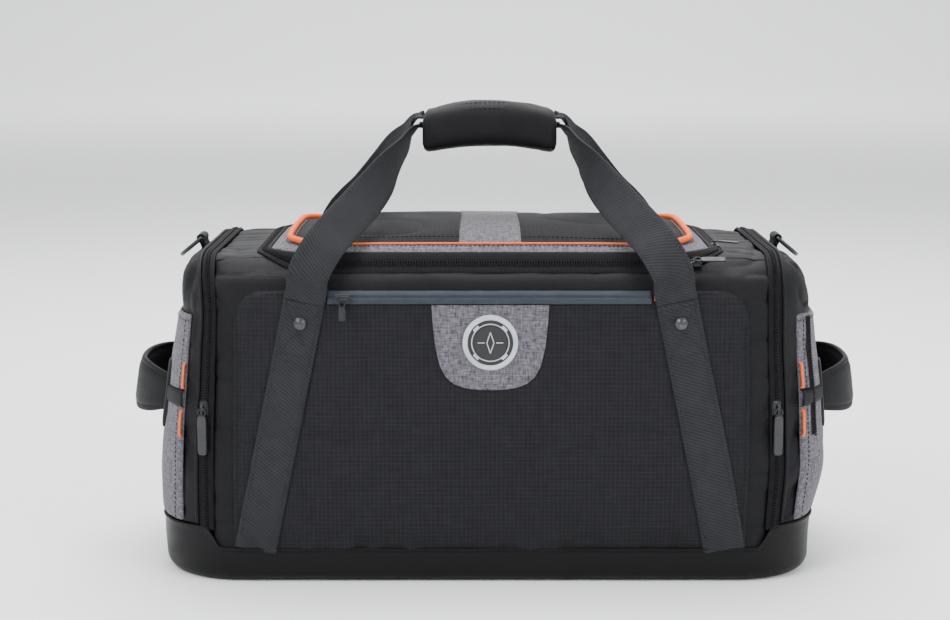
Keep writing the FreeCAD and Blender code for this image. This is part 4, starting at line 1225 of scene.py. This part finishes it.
def lid_tape():
    """The lid's half of the zip: a strip that leaves the border's edge and curves down and
    outward to the coils."""
    inner = rounded_loop(LID_HALF[0] - 1, LID_HALF[1] - 1, 41, 460)
    start = np.column_stack([inner, np.full(len(inner), LID_LOW[2] + 3.5)])
    outer, start = three_sides(chain_points(-1.6, 2.2)[0], start)
    rows = []
    for share in np.linspace(0, 1, 7):
        row = start + (outer - start) * share
        row[:, 2] += 1.6 * math.sin(math.pi * share)
        rows.append(row)
    return patch(np.stack(rows), inside=(0, 0, 150))


def lid_lining():
    """The lid's inner cloth, flat and slightly slack."""
    points = lid_ring(np.linspace(0.12, 2, 26))
    points[..., 2] = LID_LOW[2] - 1.6 + 0.8 * noise(points * (1, 1, 0), 45, 55)
    return patch(points, uv=points[..., :2], inside=(0, 0, 400))


def hinge_cloth():
    """Cloth along the back edge of the lid, from the fixed tape over the hinge to the border."""
    x = np.linspace(-158, 158, 90)[None, :]
    part = np.linspace(0, 1, 14)[:, None]
    y = 127 - 12 * part + 0 * x
    z = 296.4 + 6.4 * part + 1.8 * np.sin(math.pi * part) + 0 * x
    x = x + 0 * y
    return patch(np.stack([x, y, z], axis=-1), inside=(0, 0, 150))


# ---------------------------------------------------------------- ends


# Where the end zips start and stop round the section: just above the boot's end step.
ARCH_WAY = BOOT_END_TOP + 0.5


def end_zip_tape(side):
    """The arch of zip tape between wall and flap: across it two folds flank the coils."""
    way = np.linspace(ARCH_WAY - 4, GIRTH - ARCH_WAY + 4, 300)[:, None]
    across = np.array([(-6.6, -0.4), (-6.2, 1.3), (-5.0, 1.9), (-3.9, 1.0), (-2.6, 1.5), (0, 1.2),
                       (2.6, 1.5), (3.9, 1.0), (5.0, 1.9), (6.2, 1.3), (6.5, -0.4)])
    x = side * (END_ZIP_X + across[None, :, 0])
    return patch(skin(x + 0 * way, way + 0 * x, across[None, :, 1] + 0 * way),
                 uv=np.stack(np.broadcast_arrays(x, way), axis=-1), inside=(0, 0, 150))


def end_zip_coils(side):
    """The coils of an end zip, and a row of stitches on each side of them."""
    way = np.linspace(ARCH_WAY - 2, GIRTH - ARCH_WAY + 2, 500)
    points = skin(side * END_ZIP_X + 0 * way, way, 2.1)
    rows = [beads(points, form_normal(points), 5.0, 1.0, sizes()["coil"], along=False)]
    for place in (-5.0, 5.0):
        edge = skin(side * (END_ZIP_X + place) + 0 * way, way, 2.0)
        rows.append(beads(edge, form_normal(edge), 2.8, 0.35, sizes()["stitch"]))
    return rows


def flap_edge_piping(side):
    """A self-coloured rolled edge on the flap beside the zip."""
    way = np.linspace(ARCH_WAY + 1, GIRTH - ARCH_WAY - 1, 300)
    return tube(skin(side * (FLAP_X + 2.2) + 0 * way, way, 1.2), 1.7, (side, 0, 0), 8)


def end_panel(side):
    """The flap: rays from inside the bag are fanned from its boundary (the zip's arch, then the
    boot's edge) to the middle of the end, and each ends on the form; then folds are pressed in."""
    way = np.linspace(BOOT_END_TOP + 0.3, GIRTH - BOOT_END_TOP - 0.3, 230)
    arch = skin(side * FLAP_X + 0 * way, way)
    loop = rounded_loop(HALF_LENGTH, HALF_DEPTH, CORNER, 900)
    foot = loop[loop[:, 0] > FLAP_X]
    foot = foot[np.argsort(-foot[:, 1])]
    level = np.full(len(foot), BOOT_END_TOP + 0.3)
    foot = resample(np.column_stack([side * foot[:, 0], foot[:, 1], level]), 110)
    rim = np.concatenate([arch, foot[1:-1], arch[:1]])
    origin = np.array([side * 205.0, 0, 150])
    middle = np.array([side * HALF_LENGTH, 0, 165.0])
    share = np.linspace(0, 1, 64)[:, None, None]
    aim = unit((1 - share) * unit(rim - origin)[None] + share * unit(middle - origin))
    points = cast(origin, aim)
    pressed = smooth(share[..., 0] / 0.08) * (1 - 0.6 * smooth((share[..., 0] - 0.5) / 0.3))
    points = lifted(points, wall_wrinkles(points, 1.0) * pressed)
    uv = np.stack([points[..., 1], points[..., 2]], axis=-1)
    return patch(points, uv=uv, inside=(side * 150, 0, 150))


def end_outline():
    """Plan line of the end pocket round one end, from its front edge to its rear edge."""
    loop = rounded_loop(HALF_LENGTH, HALF_DEPTH, CORNER, 1200)[:-1]
    part = loop[loop[:, 0] >= END_POCKET_X]
    return resample(part[np.argsort(part[:, 1])], 130)


def end_pocket(side):
    """The heather pocket wrapped round the end: the plan line times the height, puffed between
    its seams and tucked in along them."""
    line = end_outline()
    line[:, 0] *= side
    tall = END_POCKET_TOP - BOOT_END_TOP
    z = BOOT_END_TOP + 0.6 + tall * np.linspace(0, 1, 110)[:, None]
    along = np.linspace(0, 1, len(line))[None, :]
    points = np.stack([line[None, :, 0] + 0 * z, line[None, :, 1] + 0 * z, z + 0 * along], axis=-1)
    edge = np.minimum(np.minimum(along, 1 - along) * END_POCKET_WAY,
                      np.minimum(z - BOOT_END_TOP, END_POCKET_TOP + 0.6 - z))
    lift = 3.2 * (1 - np.exp(-np.maximum(edge, 0) / 3)) - 0.6 + 1.4 * smooth(edge / 50)
    lift = lift - 1.3 * creases(points, 50, (1, 1, 0.6), 61) * smooth(edge / 14)
    uv = np.stack([along * END_POCKET_WAY + 0 * z, z + 0 * along], axis=-1)
    return patch(lifted(points, lift), uv=uv, inside=(side * 150, 0, 150))


def end_piping(side):
    """Short upright runs of orange cord at the pocket's edges, above and below the handle band."""
    line = end_outline()
    runs = []
    for x, y in (line[1], line[-2]):
        for low, high in ((133, 158), (178, 202)):
            z = np.linspace(low, high, 26)
            points = np.stack([side * x + 0 * z, y + 0 * z, z], axis=-1)
            middle, half = (low + high) / 2, (high - low) / 2
            points = lifted(points, 3.1 - 2.6 * (np.abs(z - middle) / half) ** 12)
            runs.append(tube(points, sizes()["end_piping"], (side, 0, 0), 10))
    return runs


def end_stitches(side):
    """Rows of stitches beside the end pocket's two upright seams and under its top edge."""
    line = end_outline()
    rows = []
    for place in (4, -5):
        z = np.linspace(BOOT_END_TOP + 4, 240, 90)
        points = np.stack([side * line[place, 0] + 0 * z, line[place, 1] + 0 * z, z], axis=-1)
        points = lifted(points, np.full(len(z), 2.9))
        rows.append(beads(points, form_normal(points), 2.8, 0.4, sizes()["stitch"]))
    top = np.column_stack([side * line[:, 0], line[:, 1], np.full(len(line), 241.0)])
    top_row = lifted(top, np.full(len(top), 2.9))
    rows.append(beads(top_row, form_normal(top), 2.8, 0.4, sizes()["stitch"]))
    return rows


def end_pocket_zip():
    """A short upright zip on the right end, by its front edge: two tapes and a row of coils."""
    line, place = end_outline(), 8
    z = np.linspace(132, 244, 90)[:, None]
    part = np.linspace(-1, 1, 9)[None, :]
    base = line[place] + (line[place + 1] - line[place - 1]) * part[..., None] * 0.85
    points = np.stack([base[..., 0] + 0 * z, base[..., 1] + 0 * z, z + 0 * part], axis=-1)
    lift = 4.6 - 1.2 * part ** 8 + 0 * z
    lift[[0, -1]] -= 1.5
    tape = patch(lifted(points, lift), inside=(150, 0, 150))
    chain = lifted(points[:, 4], np.full(90, 5.0))
    return [tape, beads(chain, form_normal(points[:, 4]), 4.0, 0.9, sizes()["coil"], along=False)]


def grab_path(side):
    """Middle line of an end handle in plan: a flat-topped arch from one anchor to the other."""
    share = np.linspace(-1, 1, 90)
    stand = 4.6 + 39 * (1 - np.abs(share) ** 2.6) ** 0.9
    x = side * (HALF_LENGTH + stand - 4)
    return share, np.column_stack([x, share * HANDLE_HALF, HANDLE_HEIGHT + 0 * share])


def grab_handle(side):
    """A flat padded band along the arch: an oval whose height and padding swell from the
    anchors to the middle, with a shallow trough along each edge seam."""
    share, path = grab_path(side)
    angle = np.linspace(0, 2 * math.pi, 40, endpoint=False)
    profile = np.stack([np.sign(np.cos(angle)) * np.abs(np.cos(angle)) ** 0.45,
                        np.sign(np.sin(angle)) * np.abs(np.sin(angle)) ** 0.8], axis=-1)
    pinch = 1 - 0.35 * np.exp(-((np.abs(profile[:, 0]) - 0.8) / 0.08) ** 2)
    profile[:, 1] *= pinch
    tall = 25 - 8 * np.abs(share) ** 4
    thick = sizes()["grip_thick"] / 2 * (1 - 0.45 * np.abs(share) ** 3)
    points, quads, cloth = sweep(path, (0, 0, 1), profile, np.column_stack([tall, thick]))
    return points + (0, 0, 1) * (0.8 * noise(points, 30, 71))[:, None], quads, cloth


def grab_stitches(side):
    """Rows of stitches in the troughs along both edges of an end handle."""
    share, path = grab_path(side)
    ahead = headings(path)
    out = np.cross(ahead, (0, 0, 1)) * side
    from_middle = path - (0, 0, HANDLE_HEIGHT)
    out = np.where(np.sum(out * from_middle, axis=-1, keepdims=True) < 0, -out, out)
    tall = (25 - 8 * np.abs(share) ** 4) * 0.8
    rows = []
    for place in (-1, 1):
        line = path + np.array([0, 0, place]) * tall[:, None] + out * 2.9
        rows.append(beads(line[6:-6], out[6:-6], 3.0, 0.4, sizes()["stitch"]))
    return rows


def handle_anchors(side):
    """The tabs that hold an end handle: flat folded webbing sewn to the end."""
    low, high = box_mm(f"{side_name(side)}_handle_anchors")
    half = (10, 2.6, (high[2] - low[2]) / 2)
    parts = []
    for place in (-1, 1):
        inside = np.array([side * 200.0, place * HANDLE_HALF, HANDLE_HEIGHT])
        foot = cast(inside, np.array([side * 1.0, 0, 0]))
        up = form_normal(foot)
        axes = (np.cross(up, (0, 0, 1)), up, (0, 0, 1))
        parts.append(block(foot + up * 3.0, axes, half, 0.25, 18, 28))
    return parts


def handle_band(side):
    """The band that carries the pull of an end handle round the corners: a strip on the pocket
    from each tab to the pocket's seam."""
    line = end_outline()
    strips = []
    for part in (line[:30], line[-30:]):
        part = resample(part[np.abs(part[:, 1]) > 76], 40)
        x, z = np.meshgrid(side * part[:, 0], np.linspace(160.5, 177.5, 12))
        y = np.broadcast_to(part[:, 1], x.shape)
        edge = np.minimum(z - 160, 178 - z)
        points = lifted(np.stack([x, y, z], axis=-1), 5.2 * (1 - np.exp(-edge / 1.2)))
        strips.append(patch(points, uv=np.stack([z, y], axis=-1), inside=(side * 150, 0, 150)))
    return strips


def side_name(side):
    return "right" if side > 0 else "left"


def ring_pin(side):
    """A point on the axis of the shoulder ring's straight bar, and the way out from the bag."""
    rise = math.radians(70)
    out = np.array([side * math.cos(rise), 0, math.sin(rise)])
    return np.array([side * (HALF_LENGTH - SHOULDER), 0, WALL_TOP]) + out * (SHOULDER + 6.5), out


def ring_tab(side):
    """A loop of narrow webbing: round the ring's bar and down to the shoulder on both sides."""
    pin, out = ring_pin(side)
    along = np.array([side * out[2], 0, -side * out[0]])
    turn = np.linspace(-math.pi * 0.5, math.pi * 1.5, 30)[1:-1]
    head = [pin + 3.7 * (math.cos(a) * along + math.sin(a) * out) for a in turn]
    legs = (pin + along * 2 - out * 11, pin + along * 2 - out * 6)
    back = (pin - along * 2 - out * 6, pin - along * 2 - out * 11)
    ring = np.array([legs[0], legs[1], *head[2:-2], back[0], back[1]])
    return sweep(resample(ring, 60), (0, 1, 0), tape_profile(25, 1.5))


# ---------------------------------------------------------------- sliders


def slider(node, along, out):
    """A zip slider: a waisted body with a bridge for its pull, in the CAD slider's place."""
    low, high = box_mm(node)
    centre, along, out = (low + high) / 2, unit(np.array(along, float)), unit(np.array(out, float))
    across = np.cross(along, out)
    return [block(centre - out * 0.9, (along, across, out), (7.3, 4.6, 1.5), 0.4, 12, 28),
            block(centre + along * 2.2 - out * 0.4, (along, across, out), (4.2, 3.3, 2.0), 0.55, 12, 24),
            tube(centre + np.array([along * 4.6 * math.cos(a) + out * (0.4 + 3.0 * math.sin(a))
                                    for a in np.linspace(0.1, math.pi - 0.1, 16)]), 0.9, across, 8)]


def pull(node, hinge, hang, out, width, grip):
    """A pull: a flat metal eye on the bridge, a neck, and a moulded grip with three ribs."""
    low, high = box_mm(node)
    hang, out = unit(np.array(hang, float)), unit(np.array(out, float))
    side = np.cross(hang, out)
    reach = np.max((high - low) * np.abs(hang)) / np.max(np.abs(hang)) - 1
    turn = np.linspace(0, 2 * math.pi, 26)[:, None]
    eye = hinge + hang * (3.2 + 3.6 * np.cos(turn)) + side * (width * 0.42 * np.sin(turn))
    eye[-1] = eye[0]
    middle, half, axes = (reach + 6.5) / 2, (reach - 6.5) / 2, (hang, side, out)
    parts = [block(hinge + hang * middle, axes, (half, width / 2, 1.0 if grip else 0.75), 0.28, 14, 32)]
    if grip:
        parts += [block(hinge + hang * (middle + half * k), axes, (0.7, width * 0.36, 1.25), 0.5, 8, 14)
                  for k in (-0.25, 0, 0.25)]
    return [tube(eye, 0.75, out, 8)], parts


# ---------------------------------------------------------------- inside


def lining():
    """The main compartment's slack bucket: rings of its outline, in to the middle of the floor."""
    low, high = box_mm("main_lining")
    loop = rounded_loop(high[0] - 1, high[1] - 1, 24, 300)
    rows = [np.column_stack([loop * share, np.full(300, low[2] + 1.5)])
            for share in np.linspace(0.02, 0.98, 14)]
    rows += [np.column_stack([loop, np.full(300, z)]) for z in np.linspace(low[2] + 3, high[2], 46)]
    points = np.stack(rows)
    wall = smooth((points[..., 2] - low[2] - 3) / 40)
    ahead = headings(np.pad(loop, ((0, 0), (0, 1))))
    inward = np.stack([-ahead[:, 1], ahead[:, 0]], axis=-1)
    fold = 2.0 + 2.0 * noise(points, 46, 81) + 2.0 * creases(points, 40, (1, 1, 0.4), 82)
    points[..., :2] += inward * (np.maximum(fold, 0) * wall)[..., None]
    return patch(points, inside=(0, 0, 2000))


def collar():
    """Facing between the mouth and the top of the lining, a short curtain under the zip."""
    high, mouth, start = box_mm("main_lining")[1], (200, 115), 294
    rows = []
    for share in np.linspace(0, 1, 8):
        loop = rounded_loop(mouth[0] + (high[0] - 1 - mouth[0]) * share,
                            mouth[1] + (high[1] - 1 - mouth[1]) * share, 37 - 13 * share, 300)
        rows.append(np.column_stack([loop, np.full(300, start - (start - high[2]) * share)]))
    return patch(np.stack(rows), inside=(0, 0, 2000))


def slab_of(node):
    """A flat padded sheet with soft edges that fills a CAD node's box."""
    low, high = box_mm(node)
    half = (high - low) / 2
    thin = int(np.argmin(half))
    order = [(thin + 1) % 3, (thin + 2) % 3, thin]
    return block((low + high) / 2, np.eye(3)[order], half[order] * (0.998, 0.998, 0.98), 0.12, 40, 80)


# ---------------------------------------------------------------- operators


class BagOperator:
    """What all the builders share."""
    bl_options = {"REGISTER", "UNDO"}


class BAG_OT_stage(BagOperator, bpy.types.Operator):
    """Camera, a pale floor that curves up into a wall far all round, and soft lights"""
    bl_idname = "bag.stage"
    bl_label = "Camera and Stage"

    def execute(self, context):
        lens = bpy.data.cameras.new("camera")
        lens.lens, lens.sensor_width, lens.clip_end = 73.6, 36, 80
        camera = bpy.data.objects.new("camera", lens)
        context.scene.collection.objects.link(camera)
        target, away, tilt = Vector((-0.01385, 0, 0.23129)), 1.9, math.radians(9)
        camera.location = target + away * Vector((0, -math.cos(tilt), math.sin(tilt)))
        camera.rotation_euler = (math.pi / 2 - tilt, 0, 0)
        context.scene.camera = camera

        far = sizes()["floor"]
        climb = np.linspace(0, math.radians(80), 24)
        reach = np.concatenate([np.linspace(10, far, 24), far + 6000 * np.sin(climb[1:])])
        high = np.concatenate([np.zeros(24), 6000 * (1 - np.cos(climb[1:]))]) - 0.4
        turn = np.linspace(0, 2 * math.pi, 73)[:, None]
        points = np.stack([reach * np.cos(turn), reach * np.sin(turn), high + 0 * turn], axis=-1)
        flat, quads, _ = patch(points, inside=(0, 0, -5000))
        mesh = bpy.data.meshes.new("pale_floor")
        mesh.from_pydata((flat * MM).tolist(), [], quads.tolist())
        mesh.polygons.foreach_set("use_smooth", np.ones(len(mesh.polygons), dtype=bool))
        floor = bpy.data.objects.new("pale_floor", mesh)
        context.scene.collection.objects.link(floor)
        paper = bpy.data.materials.new("seamless_paper")
        paper.use_nodes = True
        shader = paper.node_tree.nodes["Principled BSDF"]
        shader.inputs["Base Color"].default_value = (*context.scene.bag_colours.backdrop, 1)
        shader.inputs["Roughness"].default_value = 0.9
        mesh.materials.append(paper)

        lamps = [("key", (-1.6, -1.7, 2.2), 1.4, 66), ("fill", (1.9, -1.6, 1.5), 1.6, 38),
                 ("top", (0, 0.3, 2.6), 2.0, 72), ("back", (0, 1.3, 1.9), 2.4, 45)]
        for step in range(6):
            angle = step * math.pi / 3
            lamps.append((f"floor_{step}", (9 * math.sin(angle), 9 * math.cos(angle), 4.5), 6.5, 380))
        for name, place, size, power in lamps:
            lamp = bpy.data.lights.new(name, "AREA")
            lamp.shape, lamp.size, lamp.energy = "DISK", size, power
            light = bpy.data.objects.new(name, lamp)
            light.location = place
            light.visible_camera = False
            aim = Vector((0, 0.9, 0.9)) if name == "back" else Vector((0, 0, 0.15))
            if name.startswith("floor"):
                aim = Vector((1.2 * place[0], 1.2 * place[1], 0))
            light.rotation_euler = (aim - light.location).to_track_quat("-Z", "Y").to_euler()
            context.scene.collection.objects.link(light)
        world = bpy.data.worlds.new("studio")
        context.scene.world = world
        world.use_nodes = True
        sky = world.node_tree.nodes["Background"]
        sky.inputs["Color"].default_value = (*linear("#f2f3f6"), 1)
        sky.inputs["Strength"].default_value = 0.78
        return {"FINISHED"}


class BAG_OT_boot(BagOperator, bpy.types.Operator):
    """The coated boot round the foot, with its bound top edge"""
    bl_idname = "bag.boot"
    bl_label = "Boot"

    def execute(self, context):
        make("boot_shell", "root", "boot_coated", [boot()], ["base_boot"])
        return {"FINISHED"}


class BAG_OT_walls(BagOperator, bpy.types.Operator):
    """Front and rear walls and the deck either side of the lid"""
    bl_idname = "bag.walls"
    bl_label = "Walls and Deck"

    def execute(self, context):
        make("front_wall", "root", "nylon_black", [wall_panel(False)], ["front_panel"], wall=1.2)
        make("rear_wall", "root", "nylon_black", [wall_panel(True)], ["rear_panel"], wall=1.2)
        for name, side in SIDES.items():
            make(f"{name}_deck", "root", "nylon_black", [deck(side)], [f"{name}_deck_panel"], wall=1.2)
        return {"FINISHED"}


class BAG_OT_pocket(BagOperator, bpy.types.Operator):
    """Front pocket with its zip, heather patch, badge and stitching"""
    bl_idname = "bag.pocket"
    bl_label = "Front Pocket"

    def execute(self, context):
        make("pocket_face", "root", "ripstop", [pocket()], ["front_pocket"], wall=0.8)
        low, high = box_mm("front_pocket_zip_tape")
        strip = zip_strip(low[2] - 1.2, high[2] + 0.8, low[0], high[0] - 2)
        make("pocket_zip", "root", "zip_tape_blue", [strip],
             ["front_pocket_zip_tape"])
        make("heather_patch", "root", "heather", [heather_patch()], ["pocket_patch"])
        make("badge_ring_pale", "root", "badge_pale", badge_rim(), ["badge_rim"], sharp=35)
        make("badge_face_black", "root", "badge_black", badge_face(), ["badge_disc"], sharp=35)
        make("badge_inlay", "root", "badge_pale", badge_ring(), sharp=35)
        part = np.linspace(-1, 1, 120)
        rows = [sewn_row(part * (POCKET_HALF - 34), POCKET_TOP - 4.5 + 0 * part, 0.2)]
        high = np.linspace(BOOT_TOP + 8, POCKET_TOP - 36, 120)
        for place in (-1, 1):
            rows.append(sewn_row(place * (POCKET_HALF - 5) + 0 * high, high, 0.2))
        make("pocket_stitches", "root", "nylon_black", rows)
        ways = np.linspace(184.5, 257, 90)
        rows = [sewn_row(place * (patch_half(ways) - 3), ways, 1.1) for place in (-1, 1)]
        rows.append(sewn_row(np.linspace(-49, 49, 40), 257.0 + np.zeros(40), 1.1))
        make("patch_stitches", "root", "heather", rows)
        end = on_front(np.array(149.0), way_up(265.5), 2.0)
        make("pocket_bartack", "root", "piping_orange",
             [beads(end + np.linspace(-3.5, 3.5, 9)[:, None] * (0, 0, 1.0), (0, -1, 0), 3.4, 0.5, 0.9,
                    along=False)])
        return {"FINISHED"}


class BAG_OT_sewn_straps(BagOperator, bpy.types.Operator):
    """The four sewn runs of webbing, their box stitching and studs"""
    bl_idname = "bag.sewn_straps"
    bl_label = "Sewn Straps"

    def execute(self, context):
        for name, side in SIDES.items():
            for end, rear in (("front", False), ("rear", True)):
                make(f"{end}_webbing_{name}", "root", "webbing", [sewn_strap(side, rear)],
                     [f"{end}_strap_{name}"])
                make(f"{end}_box_stitches_{name}", "root", "webbing", strap_stitches(side, rear))
        make("dome_studs", "root", "stud_metal", front_studs(), ["strap_rivets"])
        return {"FINISHED"}


class BAG_OT_handles(BagOperator, bpy.types.Operator):
    """Both carrying straps and the padded grip"""
    bl_idname = "bag.handles"
    bl_label = "Carrying Handles"

    def execute(self, context):
        for name, facing in (("front", -1), ("rear", 1)):
            strap = make(f"{name}_carrying_strap", None, "webbing", [carrying_strap(facing)],
                         [f"{name}_handle_webbing"])
            seams = make(f"{name}_strap_stitches", None, "webbing", strap_edge_stitches(facing))
            for piece in (strap, seams):
                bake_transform(piece)
        make("padded_grip", "front_handle", "nylon_black", [grip_wrap()], ["handle_wrap"])
        make("grip_stitches", "front_handle", "nylon_black", wrap_seams())
        return {"FINISHED"}


class BAG_OT_lid(BagOperator, bpy.types.Operator):
    """The lid: heather border, domed top, stripe, piping and lining"""
    bl_idname = "bag.lid"
    bl_label = "Lid"

    def execute(self, context):
        make("lid_frame", "lid", "heather", [lid_border()], ["lid_border"], wall=1.0)
        make("lid_dome", "lid", "ripstop", [lid_top()], ["lid_top_panel"], wall=1.0)
        make("lid_band", "lid", "heather", [lid_stripe()], ["lid_stripe"])
        make("lid_cord", "lid", "piping_orange", [lid_piping()], ["lid_piping"])
        make("lid_stitches", "lid", "nylon_black", lid_stitches())
        make("lid_inner", "lid", "lining", [lid_lining()], ["lid_lining"], wall=0.8)
        return {"FINISHED"}


class BAG_OT_lid_zip(BagOperator, bpy.types.Operator):
    """The lid's zip: fixed tape, lid tape, two rows of coils and the cloth hinge"""
    bl_idname = "bag.lid_zip"
    bl_label = "Lid Zip"

    def execute(self, context):
        make("fixed_zip_tape", "root", "zip_tape_black", [zip_tape_ring()], ["main_zip_tape"], wall=0.5)
        make("fixed_zip_coils", "root", "zip_tape_black", fixed_coils())
        make("lid_zip_tape", "lid", "zip_tape_black", [lid_tape()], wall=0.5)
        make("lid_zip_coils", "lid", "zip_tape_black", lid_coils())
        cloth = make("lid_cloth_hinge", None, "nylon_black", [hinge_cloth()], ["lid_hinge_strip"],
                     wall=0.6)
        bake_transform(cloth)
        return {"FINISHED"}


class BAG_OT_ends(BagOperator, bpy.types.Operator):
    """Both end flaps with their zips, pockets, piping and tabs"""
    bl_idname = "bag.ends"
    bl_label = "End Flaps"

    def execute(self, context):
        for name, side in SIDES.items():
            flap = f"{name}_end_flap"
            make(f"{name}_zip_arch", "root", "zip_tape_black", [end_zip_tape(side)],
                 [f"{name}_end_zip_tape"], wall=0.5)
            make(f"{name}_arch_coils", "root", "zip_tape_black", end_zip_coils(side))
            make(f"{name}_flap_cloth", flap, "nylon_black", [end_panel(side)],
                 [f"{name}_end_panel"], wall=1.2)
            make(f"{name}_flap_rolled_edge", flap, "nylon_black", [flap_edge_piping(side)])
            make(f"{name}_heather_pocket", flap, "heather", [end_pocket(side)],
                 [f"{name}_end_pocket"], wall=0.8)
            make(f"{name}_pocket_stitches", flap, "nylon_black", end_stitches(side))
            make(f"{name}_orange_cord", flap, "piping_orange", end_piping(side), [f"{name}_end_piping"])
            make(f"{name}_anchor_tabs", flap, "webbing", handle_anchors(side),
                 [f"{name}_handle_anchors"])
            make(f"{name}_handle_band", flap, "nylon_black", handle_band(side), wall=0.8)
            make(f"{name}_ring_loop", flap, "webbing", [ring_tab(side)], [f"{name}_ring_tab"],
                 settled=False)
            make(f"{name}_padded_handle", f"{name}_grab_handle", "nylon_black", [grab_handle(side)],
                 [f"{name}_end_handle"])
            make(f"{name}_handle_stitches", f"{name}_grab_handle", "nylon_black", grab_stitches(side))
        make("right_upright_zip", "right_end_flap", "zip_tape_black", end_pocket_zip(),
             ["right_end_pocket_zip"])
        return {"FINISHED"}


class BAG_OT_sliders(BagOperator, bpy.types.Operator):
    """Sliders and pulls of all five zips, and the finish of the shoulder rings"""
    bl_idname = "bag.sliders"
    bl_label = "Sliders and Rings"

    def execute(self, context):
        corner = math.sqrt(CORNER ** 2 - 29 ** 2) / CORNER
        lean = unit(np.array([0, -25, math.sqrt(SHOULDER ** 2 - 25 ** 2)]))
        rows = [("pocket_slider", "pocket_zip", (1, 0, 0), (0, -1, 0), (0, 0, -1), 6, False),
                ("lid_slider_front", "lid_zip_{}_front", (1, 0, 0), lean, (1, 0, 0), 6, False),
                ("lid_slider_side", "lid_zip_{}_side", (0, 1, 0), (0, 0, 1), (0.78, -0.62, 0), 6, False)]
        for name, side in SIDES.items():
            out = (side * 29 / CORNER, -corner, 0)
            rows.append((f"{name}_end_slider", f"{name}_end_zip", (0, 0, 1), out, (0, 0, -1), 9, True))
        hinges = {joint["child"]: joint for joint in frame["joints"]}
        for node, stem, along, out, hang, width, grip in rows:
            body = stem.format("slider") if "{}" in stem else stem + "_slider"
            tag = stem.format("pull") if "{}" in stem else stem + "_pull"
            make(f"{node}_body", body, "slider_metal", slider(node, along, out), [node], settled=False)
            place = np.array(hinges[tag]["pos_m"]) / MM
            metal, grips = pull(node.replace("slider", "pull"), place, hang, out, width, grip)
            make(f"{node}_eye", tag, "slider_metal", metal, settled=False)
            make(f"{node}_grip", tag, "pull_rubber" if grip else "slider_metal", grips,
                 [node.replace("slider", "pull")], settled=False)
        for name in SIDES:
            ring = frame["nodes"][f"{name}_d_ring"]
            for place in ring.material_slots:
                place.material = finish("ring_metal")
        return {"FINISHED"}


class BAG_OT_inside(BagOperator, bpy.types.Operator):
    """Lining, collar, dividers, foam and base board"""
    bl_idname = "bag.inside"
    bl_label = "Inside"

    def execute(self, context):
        make("lining_bucket", "root", "lining", [lining()], ["main_lining"], wall=0.8, settled=False)
        make("mouth_collar", "root", "lining", [collar()], wall=0.6, settled=False)
        for name in SIDES:
            make(f"{name}_divider_cloth", "root", "lining", [slab_of(f"{name}_divider")],
                 [f"{name}_divider"], settled=False)
        for name in ("front", "rear"):
            make(f"{name}_foam_sheet", "root", "foam", [slab_of(f"{name}_wall_foam")],
                 [f"{name}_wall_foam"], settled=False)
        board = frame["nodes"]["base_board"]
        for place in board.material_slots:
            place.material = finish("board")
        return {"FINISHED"}


BUILDERS = (BAG_OT_stage, BAG_OT_boot, BAG_OT_walls, BAG_OT_pocket, BAG_OT_sewn_straps, BAG_OT_handles,
            BAG_OT_lid, BAG_OT_lid_zip, BAG_OT_ends, BAG_OT_sliders, BAG_OT_inside)


class BAG_PT_panel(bpy.types.Panel):
    """The sizes and colours, and a button for each builder"""
    bl_idname = "BAG_PT_panel"
    bl_label = "Flight Bag"
    bl_space_type = "VIEW_3D"
    bl_region_type = "UI"
    bl_category = "Flight Bag"

    def draw(self, context):
        for group in (context.scene.bag_sizes, context.scene.bag_colours):
            box = self.layout.box()
            for name in type(group).__annotations__:
                box.prop(group, name)
        for builder in BUILDERS:
            self.layout.operator(builder.bl_idname)


CLASSES = (BagSizes, BagColours, *BUILDERS, BAG_PT_panel)


def register():
    for kind in CLASSES:
        bpy.utils.register_class(kind)
    bpy.types.Scene.bag_sizes = PointerProperty(type=BagSizes)
    bpy.types.Scene.bag_colours = PointerProperty(type=BagColours)


def unregister():
    del bpy.types.Scene.bag_colours
    del bpy.types.Scene.bag_sizes
    for kind in reversed(CLASSES):
        bpy.utils.unregister_class(kind)


def main():
    register()
    for builder in BUILDERS:
        group, name = builder.bl_idname.split(".")
        getattr(getattr(bpy.ops, group), name)()
    bpy.context.view_layer.update()


if __name__ == "__main__":
    main()
